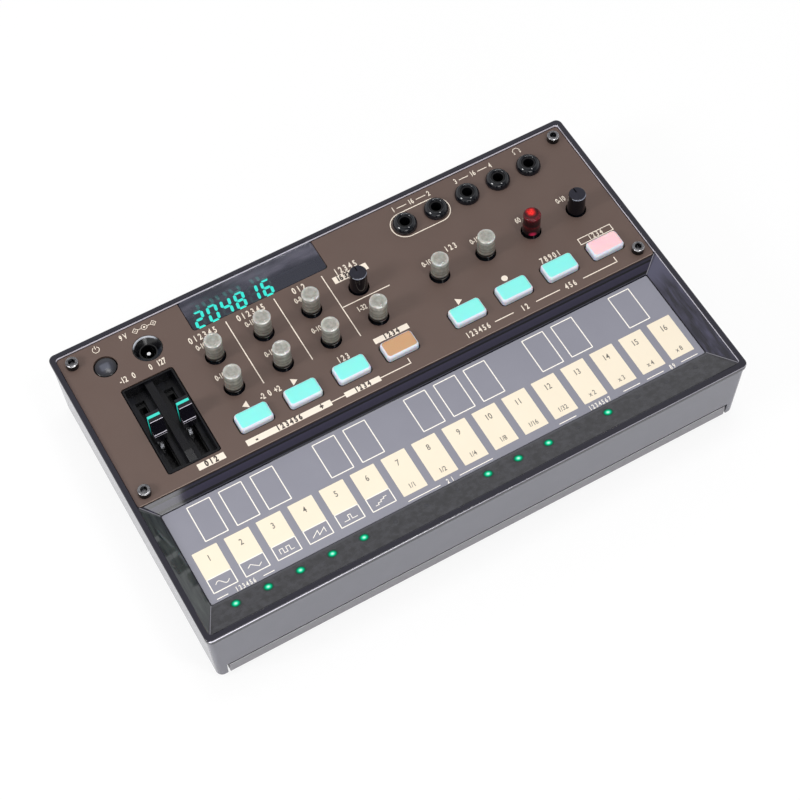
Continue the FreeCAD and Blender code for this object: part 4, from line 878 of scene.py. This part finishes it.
KEY_HALF = 4.26
KEY_BACK = -26.3
KEY_FRONT = -41.5
SHORT_FRONT = -36.2
BLACK_KEYS = (0, 1, 2, 4, 5, 7, 8, 9, 11, 12, 14)
BLACK_HALF = 4.08
BLACK_SPAN = (-24.55, -11.0)
KEY_FIGURE_Y, NOTE_Y, WAVE_Y, GROUP_Y = -30.0, -39.1, -39.0, -43.5
OUTLINE, WAVE_LINE = 0.36, 0.24
GROUP_LINES = [(-86.8, -83.0), (-71.0, -67.2), (-20.4, -8.9), (-2.0, 10.0), (34.5, 40.8), (58.5, 64.8),
               (67.4, 73.8), (80.5, 86.8)]
GROUP_FIGURES = [("1 2 3 4 5 6", -77.0), ("2  1", -5.4), ("1 2 3 4 5 6 7", 49.65), ("8 9", 77.2)]
KEY_NOTES = ("1/1", "1/2", "1/4", "1/8", "1/16", "1/32", "x 2", "x 3", "x 4", "x 8")
# Wave signs on the first keys, as places along and across their middle line
WAVES = [
    [(step / 12, math.sin(math.pi * step / 12)) for step in range(25)],
    [(0, 0), (0.5, 1), (1, 0), (1.5, -1), (2, 0)],
    [(0, -1), (0, 1), (0.5, 1), (0.5, -1), (1, -1), (1, 1), (1.5, 1), (1.5, -1), (2, -1)],
    [(0, -1), (1, 1), (1, -1), (2, 1), (2, -1)],
    [(0, -1), (0.8, -1), (0.8, 1), (1.2, 1), (1.2, -1), (2, -1)],
    [(0, -1), (0.5, -1), (0.5, -0.3), (1, -0.3), (1, 0.4), (1.5, 0.4), (1.5, 1), (2, 1)],
]
WAVE_HALF, WAVE_TALL = 2.3, 0.85


def ribbon(points):
    """A printed line through points, with mitred corners, from a flat strip."""
    bpy.ops.mesh.primitive_grid_add(x_subdivisions=len(points) - 1, y_subdivisions=1, size=1)
    item = bpy.context.object
    strip = sorted(item.data.vertices, key=lambda v: (round(v.co.x, 5), v.co.y))
    legs = [(Vector(end) - Vector(start)).normalized() for start, end in zip(points, points[1:])]
    for index, point in enumerate(points):
        before = legs[max(index - 1, 0)]
        way = (before + legs[min(index, len(legs) - 1)]).normalized()
        half = WAVE_LINE / 2 / max(way.dot(before), 0.45)
        for vertex, side in zip(strip[2 * index:2 * index + 2], (-1, 1)):
            place = Vector(point) + side * half * Vector((-way.y, way.x))
            vertex.co = (place.x * MM, place.y * MM, 0)
    return item


def print_sheet():
    """The printed keys, their figures and the group lines in front of them."""
    keys, lines, figures = [], [], []
    for index in range(KEY_COUNT):
        x = key_x(index)
        short = index < len(WAVES)
        keys.append(patch(x - KEY_HALF, x + KEY_HALF, SHORT_FRONT if short else KEY_FRONT, KEY_BACK, 0.25))
        figures.append(figure(str(index + 1), x, KEY_FIGURE_Y, 2.2, 0.78, 0.01))
        if short:
            lines.append(patch(x - KEY_HALF, x + KEY_HALF, KEY_FRONT, SHORT_FRONT, 0.2, OUTLINE))
            lines.append(ribbon([(x + WAVE_HALF * (u - 1), WAVE_Y + WAVE_TALL * v) for u, v in WAVES[index]]))
        else:
            figures.append(figure(KEY_NOTES[index - len(WAVES)], x, NOTE_Y, 1.8, 0.78, 0.01))
        if index in BLACK_KEYS:
            middle = x + KEY_PITCH / 2
            lines.append(patch(middle - BLACK_HALF, middle + BLACK_HALF, *BLACK_SPAN, 0.3, OUTLINE))
    lines += [bar((x0, GROUP_Y), (x1, GROUP_Y), FINE_RULE) for x0, x1 in GROUP_LINES]
    lines += [figure(text, x, GROUP_Y, 1.7) for text, x in GROUP_FIGURES]
    film("key_printing", keys, "cream", SHEET_TOP)
    film("key_lines", lines, "line_ink", SHEET_TOP)
    film("key_figures", figures, "grey_ink", SHEET_TOP + INK + 0.01)


# Display: lit figures on the block under the pane
SEGMENTS = {"0": "abcdef", "1": "bc", "2": "abdeg", "4": "bcfg", "6": "acdefg", "8": "abcdefg"}
SHOWN = "204816"
DIGIT_PITCH = 5.0
DIGIT_LEFT = -46.2
DIGIT_Y = 49.6
DIGIT_WIDE, DIGIT_TALL = 2.8, 6.0
SEGMENT_WIDTH = 1.02
LEAN = math.radians(9)
# Each bar's place in half widths and quarter heights, and whether it stands upright
BARS = {"a": (0, 2, False), "g": (0, 0, False), "d": (0, -2, False), "f": (-1, 1, True), "b": (1, 1, True),
        "e": (-1, -1, True), "c": (1, -1, True)}


def segment(x, y, upright):
    """One lamp bar with pointed ends."""
    length = DIGIT_TALL / 2 - 0.4 if upright else DIGIT_WIDE - 0.45
    item = plate(x, y, (length, SEGMENT_WIDTH))
    edited(item, ("bevel", {"offset": 0.42 * MM, "segments": 1, "affect": "VERTICES"}))
    if upright:
        bpy.context.scene.cursor.location = (x * MM, y * MM, 0)
        bpy.ops.object.origin_set(type="ORIGIN_CURSOR")
        item.rotation_euler = (0, 0, math.pi / 2 - LEAN)
        settle(item)
        bpy.context.scene.cursor.location = (0, 0, 0)
        bpy.ops.object.origin_set(type="ORIGIN_CURSOR")
    return item


def light_display():
    """Six figures, lit, with their unlit bars faint around them in a painted glow."""
    lit, unlit = [], []
    for index, value in enumerate(SHOWN):
        for name, (half_widths, quarters, upright) in BARS.items():
            dx, dy = half_widths * DIGIT_WIDE / 2, quarters * DIGIT_TALL / 4
            x = DIGIT_LEFT + DIGIT_PITCH * index + dx + dy * math.tan(LEAN)
            item = segment(x, DIGIT_Y + dy, upright)
            (lit if name in SEGMENTS[value] else unlit).append(item)
    film("lit_segments", lit, "segment", MODULE_TOP + 0.02)
    film("unlit_segments", unlit, "ghost", MODULE_TOP + 0.02)


# Step lamps on the front slope
def step_lamp(x, radius):
    """A low lens lying on the slope, with rings whose glow fades outwards."""
    height = SHEET_TOP + SLOPE_RISE * (WELL_FRONT - LED_ROW) / SLOPE_RUN + 0.03
    item = disc(x, LED_ROW, radius, 28, height, (-SLOPE_TILT, 0, 0))
    edited(item, *[("inset", {"thickness": radius * MM / 7})] * 6, ("poke", {}))
    middle = Vector((x * MM, LED_ROW * MM, height * MM))
    glow = item.data.attributes.new("glow", "FLOAT", "POINT")
    for vertex in item.data.vertices:
        share = 1 - (vertex.co - middle).length / (radius * MM)
        glow.data[vertex.index].value = max(0.0, share) ** 1.5
    return item


def light_steps():
    """Lit lamps glow green; the others show as faint grey spots of painted light."""
    for name, key, radius, chosen in (("step_glow", "step", 2.0, True),
                                      ("unlit_steps", "unlit", 0.9, False)):
        item = join([step_lamp(key_x(index), radius) for index in range(KEY_COUNT)
                     if (index in LIT_STEPS) == chosen], name)
        dress(item, FINISH[key])
        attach(item, "case")


# Cyan lines on the slider caps
def light_slider(side):
    """A band across the cap's top and a line down its outer face."""
    low, high = box_mm(side + "_slider_cap")
    x, y = centre_mm(side + "_slider_cap")
    y += 0.07
    half = (high[0] - low[0]) / 2
    across = bar((x - half + 0.02, y), (x + half - 0.2, y), 0.97, high[2])
    tall = high[2] - 0.02 - LINE_FOOT
    down = plate(x - half, y, (tall, 0.97), LINE_FOOT + tall / 2, (0, -math.pi / 2, 0))
    item = join([across, down], side + "_slider_line")
    thicken(0.03)
    dress(item, FINISH["line"])
    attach(item, side + "_slider")


# Studio
WHITE = (1, 1, 1, 1)


def studio_floor():
    """A plain pale floor that shows white and keeps a faint shadow."""
    bpy.ops.mesh.primitive_plane_add(size=8)
    floor = bpy.context.object
    floor.name = "floor"
    material, tree = new_material("pale_floor")
    rays = add(tree, "LightPath").outputs
    seen = calc(tree, "MAXIMUM", calc(tree, "MAXIMUM", rays["Is Camera Ray"], rays["Is Glossy Ray"]),
                rays["Is Transmission Ray"])
    matt = add(tree, "BsdfDiffuse", {"Color": blend(tree, speckle(tree, 1.5, 2.0), "FCFCFC", "F8F8F8")})
    glow = add(tree, "Emission", {"Color": WHITE, "Strength": 1.0})
    finish(material, {"Fac": product(tree, seen, 0.86), 1: matt.outputs["BSDF"],
                      2: glow.outputs["Emission"]}, "MixShader")
    floor.data.materials.append(material)


def studio_world():
    """A pale backdrop that dims overhead, and as mirrored also in front, where the room is dark;
    where it only lights, a wide soft scrim over the back."""
    world = bpy.data.worlds.new("studio")
    bpy.context.scene.world = world
    world.use_nodes = True
    tree = world.node_tree
    tree.nodes.clear()
    way = add(tree, "TexCoord").outputs["Generated"]
    height = add(tree, "SeparateXYZ", {"Vector": way}).outputs["Z"]
    sky = between(tree, height, 0.25, 0.85, 1.0, 0.55)
    scrim = calc(tree, "MAXIMUM", vector(tree, "DOT_PRODUCT", way, (0.198, 0.373, 0.906)), 0.0)
    soft = between(tree, calc(tree, "POWER", scrim, 2.0), 0, 1, 0.22, 0.92)
    ahead = vector(tree, "DOT_PRODUCT", way, (0.27, -0.86, 0.43))
    dim = product(tree, sky, between(tree, ahead, 0.7, 0.95, 1.0, 0.35))
    rays = add(tree, "LightPath").outputs
    mirrored = add(tree, "Mix", {"Factor": rays["Is Glossy Ray"], "A": sky, "B": dim})
    lights = add(tree, "Mix", {"Factor": rays["Is Diffuse Ray"], "A": mirrored.outputs["Result"], "B": soft})
    glow = add(tree, "Background", {"Color": WHITE, "Strength": lights.outputs["Result"]})
    add(tree, "OutputWorld", {"Surface": glow.outputs["Background"]})


def soft_box(name, azimuth, elevation, distance, size, radiance):
    """A rectangular studio lamp aimed at the object; azimuth 0 is in front, positive to +X."""
    a, e = math.radians(azimuth), math.radians(elevation)
    away = Vector((math.sin(a) * math.cos(e), -math.cos(a) * math.cos(e), math.sin(e)))
    lamp = bpy.data.lights.new(name, "AREA")
    lamp.shape = "RECTANGLE"
    lamp.size, lamp.size_y = size
    lamp.energy = 4 * radiance * size[0] * size[1]
    item = bpy.data.objects.new(name, lamp)
    item.location = away * distance
    item.rotation_euler = away.to_track_quat("Z", "Y").to_euler()
    bpy.context.collection.objects.link(item)


def studio_lamps():
    """A soft box high over the back, small bright ones at the left and right front, a low card."""
    soft_box("back_box", 150, 80, 1.4, (0.42, 0.3), 6.0)
    soft_box("left_box", -90, 36, 0.8, (0.18, 0.21), 14.0)
    soft_box("right_box", 22, 60, 1.3, (0.14, 0.42), 15.0)
    soft_box("front_card", -11.1, 22, 1.3, (0.62, 0.33), 2.8)


CAMERA_PLACE = (-153.75, -293.05, 539.89)
CAMERA_TURN = (30.368, 1.0, -29.516)
LENS = 89.16


def studio_camera():
    """The photograph's viewpoint, measured from the middle of the rim's top."""
    camera = bpy.data.cameras.new("camera")
    camera.lens = LENS
    camera.sensor_width = 36.0
    camera.clip_start = 0.01
    item = bpy.data.objects.new("camera", camera)
    x, y, z = CAMERA_PLACE
    item.location = (x * MM, y * MM, (z + RIM_TOP) * MM)
    item.rotation_euler = [math.radians(turn) for turn in CAMERA_TURN]
    bpy.context.collection.objects.link(item)
    bpy.context.scene.camera = item


bpy.context.scene.view_settings.view_transform = "Standard"
studio_camera()
studio_world()
studio_lamps()
studio_floor()
dress_all()
print_panel()
print_sheet()
light_display()
light_steps()
light_slider("left")
light_slider("right")
